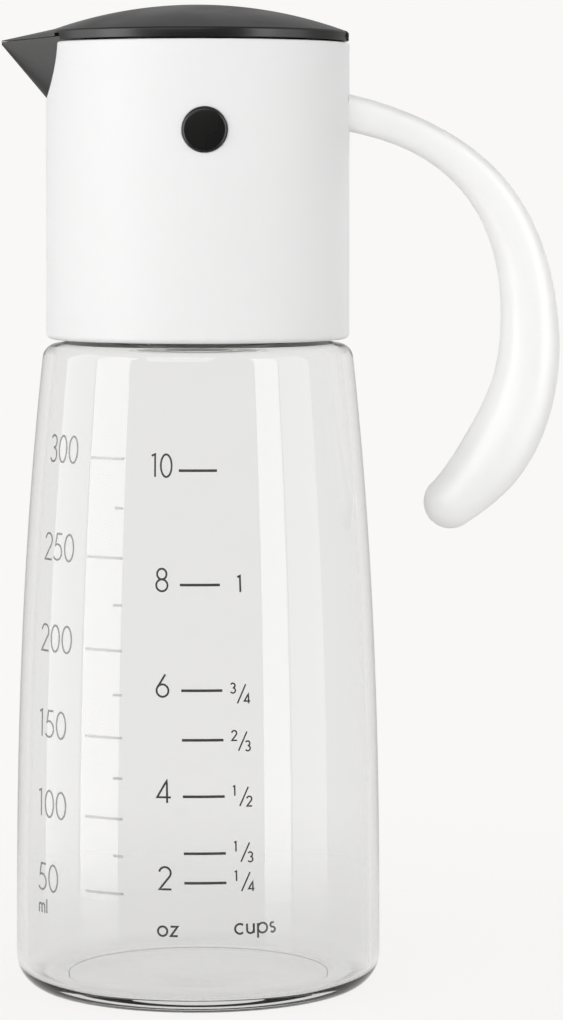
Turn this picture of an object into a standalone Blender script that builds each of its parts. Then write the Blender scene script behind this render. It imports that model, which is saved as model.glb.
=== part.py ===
"""Olive oil dispenser: a glass bottle with a screw-on pouring head, modelled piece by piece.

Metres, +Z up. The origin is the centre of the bottle's flat base, the beak points to -X and the
handle to +X. A steel weight swings on a cross axle inside the head and lifts the lid on pouring.
"""

import math

import bmesh
import bpy
from mathutils import Matrix, Vector

MM = 0.001

# Clearances
GAP = 0.3 * MM
RUNNING_GAP = 0.1 * MM
SEGMENTS = 40
SMALL_SEGMENTS = 32

# Glass bottle
BASE_RADIUS = 35.2 * MM
SHOULDER_RADIUS = 30.05 * MM
SIDE_CURVE = 2.4
BODY_HEIGHT = 124.6 * MM
BASE_CORNER = 7.2 * MM
SHOULDER_CORNER = 2.5 * MM
SHOULDER_RISE = 1.0 * MM
GLASS_WALL = 2.2 * MM
BASE_THICKNESS = 7.0 * MM
FLOOR_CORNER = 6.5 * MM
NECK_RADIUS = 20.5 * MM
NECK_WALL = 2.7 * MM
NECK_HEIGHT = 16.0 * MM
LIP_ROUNDING = 0.8 * MM

# Screw thread between the neck and the collar
THREAD_PITCH = 4.5 * MM
THREAD_TURNS = 1.5
THREAD_RIDGE = 1.2 * MM
THREAD_START = 5.5 * MM
THREAD_CLEARANCE = 0.7 * MM
THREAD_STEPS_PER_TURN = 18
THREAD_END_SHARE = 0.35
THREAD_TAPER_STEPS = 4

# Seals
GASKET_THICKNESS = 1.5 * MM
SEAL_THICKNESS = 1.5 * MM
SEAL_WIDTH = 4.6 * MM

# White head sleeve
SLEEVE_STEP = 0.75 * MM
SLEEVE_WALL = 2.0 * MM
SLEEVE_HEIGHT = 57.4 * MM
SLEEVE_LIFT = 0.5 * MM
SLEEVE_ROUNDING = 1.2 * MM
LEDGE_WIDTH = 3.1 * MM

# Threaded collar
COLLAR_WALL = 2.0 * MM
COLLAR_FLANGE = 1.8 * MM
COLLAR_RIM = 1.5 * MM
COLLAR_BORE = 17.2 * MM
COLLAR_RIBS = 12
COLLAR_RIB_WIDTH = 1.4 * MM

# Spout insert: a cup with a pouring duct and a beak
CUP_WALL = 1.5 * MM
CUP_FLOOR = 1.6 * MM
CUP_DROP = 0.5 * MM
DUCT_WALL = 1.2 * MM
DUCT_FOOT = 8.0 * MM
DUCT_KNEE_ANGLE = math.radians(18)
POUR_HOLE_WIDTH = 14.0 * MM
POUR_HOLE_LENGTH = 5.0 * MM
VENT_RADIUS = 1.2 * MM
VENT_WALL = 1.2 * MM
VENT_HEIGHT = 8.0 * MM
VENT_SETBACK = 14.5 * MM
BEAK_REACH = 38.2 * MM
BEAK_TIP_HEIGHT = 0.1 * MM
BEAK_WIDTH_RATE = 0.955
BEAK_DEPTH_RATE = 1.265
BEAK_RISE_RATE = 0.075
BEAK_WALL = 1.1 * MM
BEAK_BLUNT = 0.4 * MM

# Cross axle, rocker and weight
PIVOT_DROP = 17.0 * MM
AXLE_RADIUS = 1.5 * MM
CAP_RADIUS = 4.3 * MM
CAP_PROUD = 0.6 * MM
CAP_THICKNESS = 1.5 * MM
CAP_ROUNDING = 0.5 * MM
STEM_WALL = 0.9 * MM
ROCKER_HALF_WIDTH = 12.0 * MM
ROCKER_WALL = 1.5 * MM
POCKET_WALL = 1.1 * MM
POCKET_LIP = 0.6 * MM
WEIGHT_RADIUS = 4.0 * MM
WEIGHT_LENGTH = 24.8 * MM
SWING_CLEARANCE = 1.0 * MM
DUCT_CLEARANCE = 0.7 * MM
FINGER_RISE = 9.0 * MM
FINGER_RADIUS = 1.2 * MM
FINGER_WIDTH = 5.0 * MM
FINGER_START = 2.1 * MM
FINGER_ROOT_RADIUS = 1.55 * MM
WEB_THICKNESS = 2.4 * MM
WEB_DEPTH = 3.6 * MM
WEB_SPREAD = 9.0 * MM

# Lid, liner and hinge
LID_INSET = 0.1 * MM
LID_BAND = 1.5 * MM
LID_RISE = 5.6 * MM
LID_SHELL = 1.6 * MM
LID_BAND_WALL = 1.5 * MM
LID_EDGE = 0.3 * MM
TONGUE_SIDE = 0.8 * MM
TONGUE_ROOT = 3.0 * MM
BEAK_SIDE_GAP = 0.5 * MM
LINER_THICKNESS = 1.3 * MM
LINER_RING_WALL = 2.0 * MM
LINER_RING_DEPTH = 2.4 * MM
LINER_LIP = 0.9 * MM
LID_SEAL_WIDTH = 2.0 * MM
SPIGOT_HEIGHT = 1.7 * MM
RIB_WIDTH = 2.4 * MM
HINGE_SETBACK = 1.4 * MM
HINGE_HEIGHT = 1.3 * MM
BARREL_RADIUS = 1.0 * MM
BARREL_HALF_LENGTH = 5.0 * MM
KNUCKLE_LENGTH = 2.2 * MM
KNUCKLE_ARM_RISE = 0.6 * MM
HINGE_PIN_RADIUS = 0.5 * MM
HINGE_PIN_GAP = 0.1 * MM
LID_OPENING = math.radians(20)
ROCKER_RATIO = 3.0

# Handle
HANDLE_ROOT_DROP = 13.2 * MM
HANDLE_REACH = 36.3 * MM
HANDLE_FALL = 43.4 * MM
HANDLE_SLOPE = math.radians(11.3)
HANDLE_START_PULL = 0.69
HANDLE_END_PULL = 0.55
HANDLE_CURL_RADIUS = 40.0 * MM
HANDLE_CURL = math.radians(51.2)
# Fraction of the length, thickness, width and squareness of the section
HANDLE_SECTIONS = (
    (0.00, 7.0 * MM, 13.0 * MM, 4.0),
    (0.18, 6.6 * MM, 12.6 * MM, 3.4),
    (0.45, 9.3 * MM, 12.6 * MM, 2.8),
    (0.70, 12.2 * MM, 13.4 * MM, 2.3),
    (0.87, 14.2 * MM, 14.0 * MM, 2.1),
    (1.00, 12.6 * MM, 13.0 * MM, 2.0),
)
SCREW_RADIUS = 1.1 * MM
SCREW_HEAD_RADIUS = 2.0 * MM
SCREW_HEAD_DEPTH = 1.0 * MM
SCREW_LENGTH = 9.0 * MM
SCREW_POINT_RADIUS = 0.65 * MM
SCREW_SPACING = 7.0 * MM
SCREW_DROP = 1.0 * MM

# Heights and places that follow from the sizes above, from the foot upwards
NECK_TOP = BODY_HEIGHT + NECK_HEIGHT
COLLAR_INNER = NECK_RADIUS + THREAD_RIDGE + THREAD_CLEARANCE
COLLAR_OUTER = COLLAR_INNER + COLLAR_WALL
GASKET_BOTTOM = NECK_TOP + GAP
COLLAR_CEILING = GASKET_BOTTOM + GASKET_THICKNESS + GAP
COLLAR_TOP = COLLAR_CEILING + COLLAR_FLANGE
SEAL_BOTTOM = COLLAR_TOP + GAP
FLOOR_BOTTOM = SEAL_BOTTOM + SEAL_THICKNESS + GAP
FLOOR_TOP = FLOOR_BOTTOM + CUP_FLOOR
SLEEVE_RADIUS = SHOULDER_RADIUS - SLEEVE_STEP
SLEEVE_BOTTOM = BODY_HEIGHT + SLEEVE_LIFT
SLEEVE_TOP = SLEEVE_BOTTOM + SLEEVE_HEIGHT
SLEEVE_INNER = SLEEVE_RADIUS - SLEEVE_WALL
LEDGE_INNER = SLEEVE_INNER - LEDGE_WIDTH
COLLAR_BOTTOM = BODY_HEIGHT + SHOULDER_RISE + 3 * GAP
CUP_OUTER = SLEEVE_INNER - GAP
CUP_INNER = CUP_OUTER - CUP_WALL
CUP_TOP = SLEEVE_TOP - CUP_DROP
PIVOT_HEIGHT = SLEEVE_TOP - PIVOT_DROP
POCKET_RADIUS = WEIGHT_RADIUS + GAP + POCKET_WALL
POCKET_DROP = PIVOT_HEIGHT - FLOOR_TOP - SWING_CLEARANCE - POCKET_RADIUS
POCKET_HALF_LENGTH = WEIGHT_LENGTH / 2 + GAP + POCKET_WALL
SWING_RADIUS = POCKET_DROP + POCKET_RADIUS
DUCT_FACE = SWING_RADIUS + DUCT_CLEARANCE
DUCT_TOP = PIVOT_HEIGHT + FINGER_RISE + FINGER_RADIUS
FINGER_REACH = DUCT_FACE - SWING_CLEARANCE - FINGER_RADIUS
BEAK_TIP = SLEEVE_TOP + BEAK_TIP_HEIGHT
LID_RADIUS = SLEEVE_RADIUS - LID_INSET
LID_BOTTOM = SLEEVE_TOP + GAP
LID_BAND_TOP = LID_BOTTOM + LID_BAND
LID_TOP = LID_BAND_TOP + LID_RISE
DOME_RADIUS = (LID_RADIUS**2 + LID_RISE**2) / (2 * LID_RISE)
HINGE_X = LID_RADIUS - HINGE_SETBACK
HINGE_Z = SLEEVE_TOP + HINGE_HEIGHT
LINER_RADIUS = CUP_INNER - 3 * GAP
LINER_TOP = CUP_TOP + GAP
LINER_BOTTOM = LINER_TOP - LINER_THICKNESS
HANDLE_HEIGHT = SLEEVE_TOP - HANDLE_ROOT_DROP
SCREW_HEIGHT = HANDLE_HEIGHT - SCREW_DROP
STEM_RADIUS = AXLE_RADIUS + RUNNING_GAP + STEM_WALL
CAP_BACK = SLEEVE_RADIUS + CAP_PROUD - CAP_THICKNESS
STEM_END = CUP_INNER - GAP


def clear_scene():
    """Remove whatever the scene holds."""
    for obj in list(bpy.data.objects):
        bpy.data.objects.remove(obj, do_unlink=True)


def new_collection(name):
    """A collection linked to the scene."""
    collection = bpy.data.collections.new(name)
    bpy.context.scene.collection.children.link(collection)
    return collection


def add_object(name, data, collection):
    """An object in the collection; a cutter is drawn as a wire and never rendered."""
    obj = bpy.data.objects.new(name, data)
    collection.objects.link(obj)
    if collection.name.startswith("cutters"):
        obj.hide_render = True
        obj.display_type = "WIRE"
    return obj


def add_axis(name, point, collection):
    """An empty that stands on the axis of a joint."""
    empty = bpy.data.objects.new(name, None)
    empty.location = point
    empty.empty_display_size = 5 * MM
    collection.objects.link(empty)
    return empty


def attach(axis, *objects):
    """Parent the objects to the axis and leave them where they are."""
    for obj in objects:
        obj.parent = axis
        obj.matrix_parent_inverse = Matrix.Translation(-axis.location)


def mesh_from(name, bm):
    """A mesh with its faces pointing outwards."""
    bmesh.ops.recalc_face_normals(bm, faces=bm.faces)
    mesh = bpy.data.meshes.new(name)
    bm.to_mesh(mesh)
    bm.free()
    return mesh


def turned(name, profile, collection, closed=False, segments=SEGMENTS):
    """A solid of revolution about Z. The (radius, height) profile runs down its outer side."""
    edges = [(i, i + 1) for i in range(len(profile) - 1)]
    if closed:
        edges.append((len(profile) - 1, 0))
    mesh = bpy.data.meshes.new(name)
    mesh.from_pydata([(radius, 0.0, height) for radius, height in profile], edges, [])
    obj = add_object(name, mesh, collection)
    screw = obj.modifiers.new("turn", "SCREW")
    screw.steps = segments
    screw.render_steps = segments
    screw.use_merge_vertices = True
    screw.merge_threshold = 0.000001
    screw.use_smooth_shade = True
    return obj


def box(name, low, high, collection):
    """A block between two corners."""
    low, high = Vector(low), Vector(high)
    size = Matrix.Diagonal((*(high - low), 1.0))
    bm = bmesh.new()
    bmesh.ops.create_cube(bm, size=1.0, matrix=Matrix.Translation((low + high) / 2) @ size)
    return add_object(name, mesh_from(name, bm), collection)


def rod(name, radius, start, end, collection, end_radius=None, segments=24):
    """A round bar, or a cone, from one point to another."""
    start, end = Vector(start), Vector(end)
    turn = (end - start).to_track_quat("Z", "Y").to_matrix().to_4x4()
    bm = bmesh.new()
    bmesh.ops.create_cone(
        bm,
        cap_ends=True,
        segments=segments,
        radius1=radius,
        radius2=radius if end_radius is None else end_radius,
        depth=(end - start).length,
        matrix=Matrix.Translation((start + end) / 2) @ turn,
    )
    mesh = mesh_from(name, bm)
    mesh.shade_smooth()
    mesh.set_sharp_from_angle(angle=math.radians(35))
    return add_object(name, mesh, collection)


def cross_rod(name, radius, height, start, end, collection, x=0.0, segments=24):
    """A round bar that runs along Y."""
    return rod(name, radius, (x, start, height), (x, end, height), collection, segments=segments)


def curve_to_mesh(curve_object, collection):
    """The curve's solid as a mesh object with welded caps; the curve is removed."""
    bpy.context.view_layer.update()
    graph = bpy.context.evaluated_depsgraph_get()
    mesh = bpy.data.meshes.new_from_object(curve_object.evaluated_get(graph))
    bm = bmesh.new()
    bm.from_mesh(mesh)
    bmesh.ops.remove_doubles(bm, verts=bm.verts, dist=0.000001)
    bmesh.ops.recalc_face_normals(bm, faces=bm.faces)
    bm.to_mesh(mesh)
    bm.free()
    name = curve_object.name
    place = curve_object.matrix_world.copy()
    bpy.data.objects.remove(curve_object, do_unlink=True)
    obj = add_object(name, mesh, collection)
    obj.matrix_world = place
    return obj


def plate(name, outline, half_thickness, collection):
    """A flat piece with its (x, z) outline in the middle plane, thick along Y."""
    curve = bpy.data.curves.new(name, "CURVE")
    curve.dimensions = "2D"
    curve.fill_mode = "BOTH"
    curve.extrude = half_thickness
    spline = curve.splines.new("POLY")
    spline.points.add(len(outline) - 1)
    for point, (x, z) in zip(spline.points, outline):
        point.co = (x, z, 0.0, 1.0)
    spline.use_cyclic_u = True
    obj = add_object(name, curve, collection)
    obj.rotation_euler = (math.pi / 2, 0.0, 0.0)
    return curve_to_mesh(obj, collection)


def loft(name, rings, collection):
    """A solid skinned over rings of as many points each, with flat ends."""
    bm = bmesh.new()
    rows = [[bm.verts.new(point) for point in ring] for ring in rings]
    count = len(rows[0])
    for lower, upper in zip(rows, rows[1:]):
        for i in range(count):
            j = (i + 1) % count
            bm.faces.new((lower[i], lower[j], upper[j], upper[i]))
    bm.faces.new(rows[0])
    bm.faces.new(rows[-1])
    return add_object(name, mesh_from(name, bm), collection)


def boolean(obj, operation, others):
    """Add one exact Boolean for each of the other objects."""
    for other in others:
        modifier = obj.modifiers.new(other.name, "BOOLEAN")
        modifier.operation = operation
        modifier.solver = "EXACT"
        modifier.object = other


def fuse(obj, *others):
    """Join the other shapes to the object."""
    boolean(obj, "UNION", others)


def cut(obj, *others):
    """Cut the other shapes out of the object."""
    boolean(obj, "DIFFERENCE", others)


def keep_inside(obj, other):
    """Keep only what lies inside the other shape."""
    boolean(obj, "INTERSECT", [other])


def finish(obj, color, roughness, metallic=0.0, transmission=0.0):
    """Give the object its own Principled material."""
    material = bpy.data.materials.new(obj.name)
    material.use_nodes = True
    shader = material.node_tree.nodes["Principled BSDF"]
    shader.inputs["Base Color"].default_value = (*color, 1.0)
    shader.inputs["Roughness"].default_value = roughness
    shader.inputs["Metallic"].default_value = metallic
    shader.inputs["Transmission Weight"].default_value = transmission
    obj.data.materials.append(material)
    return obj


def arc(centre, radius, start, end, steps):
    """Points on a circle between two angles, both ends included."""
    points = []
    for i in range(steps + 1):
        angle = start + (end - start) * i / steps
        points.append((centre[0] + radius * math.cos(angle), centre[1] + radius * math.sin(angle)))
    return points


def interpolate(stations, t):
    """Smooth values between stations whose first number is the place along the way."""
    last = len(stations) - 1
    k = 0
    while k < last - 1 and t > stations[k + 1][0]:
        k += 1
    span = stations[k + 1][0] - stations[k][0]
    u = min(max((t - stations[k][0]) / span, 0.0), 1.0)
    values = []
    for column in range(1, len(stations[0])):
        a, b = stations[k][column], stations[k + 1][column]
        before, after = stations[max(k - 1, 0)], stations[min(k + 2, last)]
        slope_a = (b - before[column]) / max(stations[k + 1][0] - before[0], span) * span
        slope_b = (after[column] - a) / max(after[0] - stations[k][0], span) * span
        values.append(
            a * (2 * u**3 - 3 * u**2 + 1)
            + slope_a * (u**3 - 2 * u**2 + u)
            + b * (3 * u**2 - 2 * u**3)
            + slope_b * (u**3 - u**2)
        )
    return values


def thread_ridge(name, radius, start, first_turn, collection):
    """A pointed helical ridge whose ends run out; start is the height of its angle zero."""
    steps = round(THREAD_STEPS_PER_TURN * THREAD_TURNS)
    curve = bpy.data.curves.new(name, "CURVE")
    curve.dimensions = "3D"
    curve.bevel_depth = THREAD_RIDGE
    curve.bevel_resolution = 0
    curve.use_fill_caps = True
    spline = curve.splines.new("POLY")
    spline.points.add(steps)
    for i, point in enumerate(spline.points):
        turns = first_turn + THREAD_TURNS * i / steps
        angle = math.tau * turns
        height = start + THREAD_PITCH * turns
        point.co = (radius * math.cos(angle), radius * math.sin(angle), height, 1.0)
        from_end = min(i, steps - i) / THREAD_TAPER_STEPS
        point.radius = min(1.0, THREAD_END_SHARE + (1 - THREAD_END_SHARE) * from_end)
    return curve_to_mesh(add_object(name, curve, collection), collection)


def side_radius(height):
    """Outer radius of the glass at a height between the foot and the shoulder."""
    rise = max(height - BASE_CORNER, 0.0) / (BODY_HEIGHT - BASE_CORNER - SHOULDER_CORNER)
    return BASE_RADIUS - (BASE_RADIUS - SHOULDER_RADIUS) * rise**SIDE_CURVE


def bottle_outside():
    """Outer profile of the glass from the lip down to the middle of the base."""
    shoulder = side_radius(BODY_HEIGHT - SHOULDER_CORNER)
    root = BODY_HEIGHT + SHOULDER_RISE
    points = arc((NECK_RADIUS - LIP_ROUNDING, NECK_TOP - LIP_ROUNDING), LIP_ROUNDING, math.pi / 2, 0.0, 2)
    points += [(NECK_RADIUS, root + LIP_ROUNDING)]
    points += [(NECK_RADIUS + LIP_ROUNDING, root)]
    corner = (shoulder - SHOULDER_CORNER, BODY_HEIGHT - SHOULDER_CORNER)
    points += arc(corner, SHOULDER_CORNER, math.pi / 2, 0.0, 4)
    steps = 7
    for i in range(1, steps):
        height = BODY_HEIGHT - SHOULDER_CORNER - (BODY_HEIGHT - SHOULDER_CORNER - BASE_CORNER) * i / steps
        points.append((side_radius(height), height))
    points += arc((BASE_RADIUS - BASE_CORNER, BASE_CORNER), BASE_CORNER, 0.0, -math.pi / 2, 4)
    points.append((0.0, 0.0))
    return points


def bottle_inside():
    """Inner profile of the glass from the middle of its floor up to the lip."""
    bore = NECK_RADIUS - NECK_WALL
    corner = FLOOR_CORNER
    floor_radius = side_radius(BASE_THICKNESS + corner) - GLASS_WALL
    points = [(0.0, BASE_THICKNESS)]
    points += arc((floor_radius - corner, BASE_THICKNESS + corner), corner, -math.pi / 2, 0.0, 3)
    bottom = BASE_THICKNESS + corner
    top = BODY_HEIGHT - SHOULDER_CORNER - GLASS_WALL / 2
    steps = 5
    for i in range(1, steps):
        height = bottom + (top - bottom) * i / steps
        points.append((side_radius(height) - GLASS_WALL, height))
    ceiling = BODY_HEIGHT - GLASS_WALL
    shoulder = side_radius(top) - GLASS_WALL
    rounding = ceiling - top
    points += arc((shoulder - rounding, ceiling - rounding), rounding, 0.0, math.pi / 2, 2)
    points += [(bore + LIP_ROUNDING, ceiling + SHOULDER_RISE), (bore, ceiling + SHOULDER_RISE + LIP_ROUNDING)]
    points += arc((bore + LIP_ROUNDING, NECK_TOP - LIP_ROUNDING), LIP_ROUNDING, math.pi, math.pi / 2, 2)
    return points


def build_glass_bottle(parts, cutters):
    """Clear glass body with its threaded neck."""
    bottle = turned("glass_bottle", bottle_inside() + bottle_outside(), parts)
    start = NECK_TOP - NECK_HEIGHT + THREAD_START
    fuse(bottle, thread_ridge("neck_thread", NECK_RADIUS, start, 0.0, cutters))
    return finish(bottle, (0.93, 0.95, 0.94), 0.02, transmission=1.0)


def build_neck_gasket(parts):
    """Silicone washer that lies on the glass rim."""
    inner = NECK_RADIUS - NECK_WALL
    outer = NECK_RADIUS + GAP
    top = GASKET_BOTTOM + GASKET_THICKNESS
    profile = [(outer, top), (outer, GASKET_BOTTOM), (inner, GASKET_BOTTOM), (inner, top)]
    gasket = turned("neck_gasket", profile, parts, closed=True, segments=SMALL_SEGMENTS)
    return finish(gasket, (0.85, 0.85, 0.83), 0.55)


def build_threaded_collar(parts, cutters):
    """Moulded screw ring: threaded skirt, two rims and the ribs between them."""
    rim = SLEEVE_INNER - GAP
    profile = [
        (rim, COLLAR_TOP),
        (rim, COLLAR_TOP - COLLAR_RIM),
        (COLLAR_OUTER, COLLAR_TOP - COLLAR_RIM),
        (COLLAR_OUTER, COLLAR_BOTTOM + COLLAR_RIM),
        (rim, COLLAR_BOTTOM + COLLAR_RIM),
        (rim, COLLAR_BOTTOM),
        (COLLAR_INNER, COLLAR_BOTTOM),
        (COLLAR_INNER, COLLAR_CEILING),
        (COLLAR_BORE, COLLAR_CEILING),
        (COLLAR_BORE, COLLAR_TOP),
    ]
    collar = turned("threaded_collar", profile, parts, closed=True)
    bm = bmesh.new()
    low, high = COLLAR_BOTTOM + COLLAR_RIM / 2, COLLAR_TOP - COLLAR_RIM / 2
    middle = Vector(((COLLAR_OUTER + rim) / 2 - GAP, 0.0, (low + high) / 2))
    size = Matrix.Diagonal((rim - COLLAR_OUTER, COLLAR_RIB_WIDTH, high - low, 1.0))
    for i in range(COLLAR_RIBS):
        turn = Matrix.Rotation(math.tau * (i + 0.5) / COLLAR_RIBS, 4, "Z")
        bmesh.ops.create_cube(bm, size=1.0, matrix=turn @ Matrix.Translation(middle) @ size)
    fuse(collar, add_object("collar_ribs", mesh_from("collar_ribs", bm), cutters))
    start = NECK_TOP - NECK_HEIGHT + THREAD_START - THREAD_PITCH / 2
    fuse(collar, thread_ridge("collar_thread", COLLAR_INNER, start, 0.5, cutters))
    return finish(collar, (0.86, 0.86, 0.84), 0.4)


def build_insert_seal(parts):
    """Silicone washer between the collar and the floor of the spout insert."""
    outer = LEDGE_INNER - GAP
    inner = outer - SEAL_WIDTH
    top = SEAL_BOTTOM + SEAL_THICKNESS
    profile = [(outer, top), (outer, SEAL_BOTTOM), (inner, SEAL_BOTTOM), (inner, top)]
    seal = turned("insert_seal", profile, parts, closed=True, segments=SMALL_SEGMENTS)
    return finish(seal, (0.85, 0.85, 0.83), 0.55)


def beak_rings(outward, lift, inner_end, steps=14):
    """Half-cone rings of the beak, moved outward by a distance and carried up by lift."""
    shift = outward * math.sqrt(1 + BEAK_WIDTH_RATE**2) / BEAK_WIDTH_RATE
    apex = -BEAK_REACH - shift
    rings = []
    for x in (apex + BEAK_BLUNT, -inner_end):
        u = x - apex
        top = BEAK_TIP + BEAK_RISE_RATE * u
        ring = []
        for y, z in arc((0.0, 0.0), 1.0, 0.0, -math.pi, steps):
            ring.append((x, BEAK_WIDTH_RATE * u * y, top + BEAK_DEPTH_RATE * u * z))
        if lift:
            ring.append((x, -BEAK_WIDTH_RATE * u, top + lift))
            ring.append((x, BEAK_WIDTH_RATE * u, top + lift))
        rings.append(ring)
    return rings


def build_head_sleeve(parts, cutters):
    """White shell of the head with the beak notch, the cap seats and the handle's screw holes."""
    seat = (SEAL_BOTTOM, SEAL_BOTTOM + SEAL_THICKNESS)
    profile = [(SLEEVE_RADIUS - GAP, SLEEVE_TOP), (SLEEVE_RADIUS, SLEEVE_TOP - GAP)]
    corner = (SLEEVE_RADIUS - SLEEVE_ROUNDING, SLEEVE_BOTTOM + SLEEVE_ROUNDING)
    profile += arc(corner, SLEEVE_ROUNDING, 0.0, -math.pi / 2, 3)
    profile += [(SLEEVE_INNER, SLEEVE_BOTTOM), (SLEEVE_INNER, seat[0]), (LEDGE_INNER, seat[0])]
    profile += [(LEDGE_INNER, seat[1]), (SLEEVE_INNER, seat[1]), (SLEEVE_INNER, SLEEVE_TOP)]
    sleeve = turned("head_sleeve", profile, parts, closed=True)
    notch = loft("beak_notch", beak_rings(GAP, 3 * SLEEVE_WALL, CUP_INNER - 3 * CUP_WALL), cutters)
    reach = SLEEVE_RADIUS + SLEEVE_WALL
    cut(sleeve, notch)
    for side, label in ((-1, "front"), (1, "back")):
        seat_floor = side * (CAP_BACK - GAP)
        hole_start, far = side * STEM_END, side * reach
        cut(
            sleeve,
            cross_rod(f"cap_seat_{label}", CAP_RADIUS + GAP, PIVOT_HEIGHT, seat_floor, far, cutters),
            cross_rod(f"stem_hole_{label}", STEM_RADIUS + GAP, PIVOT_HEIGHT, hole_start, far, cutters),
        )
    for side, label in ((-1, "left"), (1, "right")):
        y = side * SCREW_SPACING / 2
        face = (screw_face() - GAP, y, SCREW_HEIGHT)
        cone_end = (screw_face() + SCREW_HEAD_DEPTH + GAP, y, SCREW_HEIGHT)
        neck = (screw_face() + SCREW_HEAD_DEPTH, y, SCREW_HEIGHT)
        outside = (reach, y, SCREW_HEIGHT)
        hole = SCREW_RADIUS + GAP
        wide = SCREW_HEAD_RADIUS + 2 * GAP
        cut(
            sleeve,
            rod(f"countersink_{label}", wide, face, cone_end, cutters, end_radius=hole),
            rod(f"screw_hole_{label}", hole, neck, outside, cutters, segments=16),
        )
    return finish(sleeve, (0.88, 0.88, 0.86), 0.22)


def screw_face():
    """Distance of a handle screw's head face from the bottle axis, clear of the cup."""
    near = SCREW_SPACING / 2 - SCREW_HEAD_RADIUS
    return math.sqrt(max((CUP_OUTER + GAP) ** 2 - near**2, 0.0)) + GAP / 2


def build_handle_screws(parts):
    """Two countersunk screws from inside the sleeve into the handle."""
    screws = []
    for side, label in ((-1, "left"), (1, "right")):
        y = side * SCREW_SPACING / 2
        profile = [
            (0.0, SCREW_LENGTH),
            (SCREW_POINT_RADIUS, SCREW_LENGTH),
            (SCREW_RADIUS, SCREW_LENGTH - SCREW_RADIUS),
            (SCREW_RADIUS, SCREW_HEAD_DEPTH),
            (SCREW_HEAD_RADIUS, 0.0),
            (0.0, 0.0),
        ]
        screw = turned(f"handle_screw_{label}", profile, parts, segments=16)
        screw.location = (screw_face(), y, SCREW_HEIGHT)
        screw.rotation_euler = (0.0, math.pi / 2, 0.0)
        screws.append(finish(screw, (0.72, 0.73, 0.74), 0.3, metallic=1.0))
    return screws


def handle_path(samples):
    """Points and directions along the handle: a curve over and down, then the curl of the grip."""
    start = Vector((SLEEVE_RADIUS - SLEEVE_WALL / 2, 0.0, HANDLE_HEIGHT))
    end = start + Vector((HANDLE_REACH, 0.0, -HANDLE_FALL))
    run = HANDLE_REACH * HANDLE_START_PULL
    first = start + Vector((run, 0.0, -run * math.tan(HANDLE_SLOPE)))
    second = end + Vector((0.0, 0.0, HANDLE_FALL * HANDLE_END_PULL))
    path = []
    for i in range(samples + 1):
        t = i / samples
        u = 1 - t
        point = start * u**3 + first * (3 * u * u * t) + second * (3 * u * t * t) + end * t**3
        along = (first - start) * (u * u) + (second - first) * (2 * u * t) + (end - second) * (t * t)
        path.append((point, along.normalized()))
    low = path[-1][0]
    for i in range(1, samples + 1):
        turn = HANDLE_CURL * i / samples
        x = low.x - HANDLE_CURL_RADIUS * (1 - math.cos(turn))
        z = low.z - HANDLE_CURL_RADIUS * math.sin(turn)
        path.append((Vector((x, 0.0, z)), Vector((-math.sin(turn), 0.0, -math.cos(turn)))))
    return path


def handle_ring(centre, along, thickness, width, squareness, points=16):
    """A superellipse section of the handle, square to its direction."""
    across = Vector((0.0, 1.0, 0.0)).cross(along)
    ring = []
    for i in range(points):
        angle = math.tau * (i + 0.5) / points
        c, s = math.cos(angle), math.sin(angle)
        y = width / 2 * math.copysign(abs(c) ** (2 / squareness), c)
        n = thickness / 2 * math.copysign(abs(s) ** (2 / squareness), s)
        ring.append(centre + Vector((0.0, y, 0.0)) + across * n)
    return ring


def build_handle(parts, cutters):
    """Open handle: a flat strap at the sleeve that becomes a round grip with a free end."""
    path = handle_path(10)
    lengths = [0.0]
    for (a, _), (b, _) in zip(path, path[1:]):
        lengths.append(lengths[-1] + (b - a).length)
    rings = []
    for (centre, along), length in zip(path, lengths):
        rings.append(handle_ring(centre, along, *interpolate(HANDLE_SECTIONS, length / lengths[-1])))
    centre, along = path[-1]
    _, thickness, width, squareness = HANDLE_SECTIONS[-1]
    cap_steps = 4
    cap_end = math.radians(80)
    for i in range(1, cap_steps + 1):
        angle = cap_end * i / cap_steps
        point = centre + along * (thickness / 2 * math.sin(angle))
        scale = math.cos(angle)
        rings.append(handle_ring(point, along, thickness * scale, width * scale, squareness))
    handle = loft("handle", rings, parts)
    handle.data.shade_smooth()
    face = SLEEVE_RADIUS + GAP
    low, high = HANDLE_HEIGHT - HANDLE_FALL, HANDLE_HEIGHT + HANDLE_FALL
    cut(handle, turned("handle_seat", [(0.0, high), (face, high), (face, low), (0.0, low)], cutters))
    for side, label in ((-1, "left"), (1, "right")):
        y = side * SCREW_SPACING / 2
        end = screw_face() + SCREW_LENGTH + GAP
        name = f"pilot_hole_{label}"
        start_point = (SLEEVE_RADIUS - SLEEVE_WALL, y, SCREW_HEIGHT)
        cut(handle, rod(name, SCREW_RADIUS + GAP, start_point, (end, y, SCREW_HEIGHT), cutters, segments=16))
    return finish(handle, (0.84, 0.84, 0.82), 0.3)


def room_outline(wide, high):
    """(x, z) outline of the cup's hollow: the duct in front, the wall between, the rocker's room."""
    knee = PIVOT_HEIGHT - SWING_RADIUS * math.tan(DUCT_KNEE_ANGLE)
    front = -DUCT_FACE - DUCT_WALL
    slope = math.atan2(knee - FLOOR_TOP, DUCT_FACE - DUCT_FOOT)
    return [
        (-wide, FLOOR_TOP),
        (-DUCT_FOOT - DUCT_WALL / math.sin(slope), FLOOR_TOP),
        (front, knee),
        (front, DUCT_TOP),
        (-DUCT_FACE, DUCT_TOP),
        (-DUCT_FACE, knee),
        (-DUCT_FOOT, FLOOR_TOP),
        (wide, FLOOR_TOP),
        (wide, high),
        (-wide, high),
    ]


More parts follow.
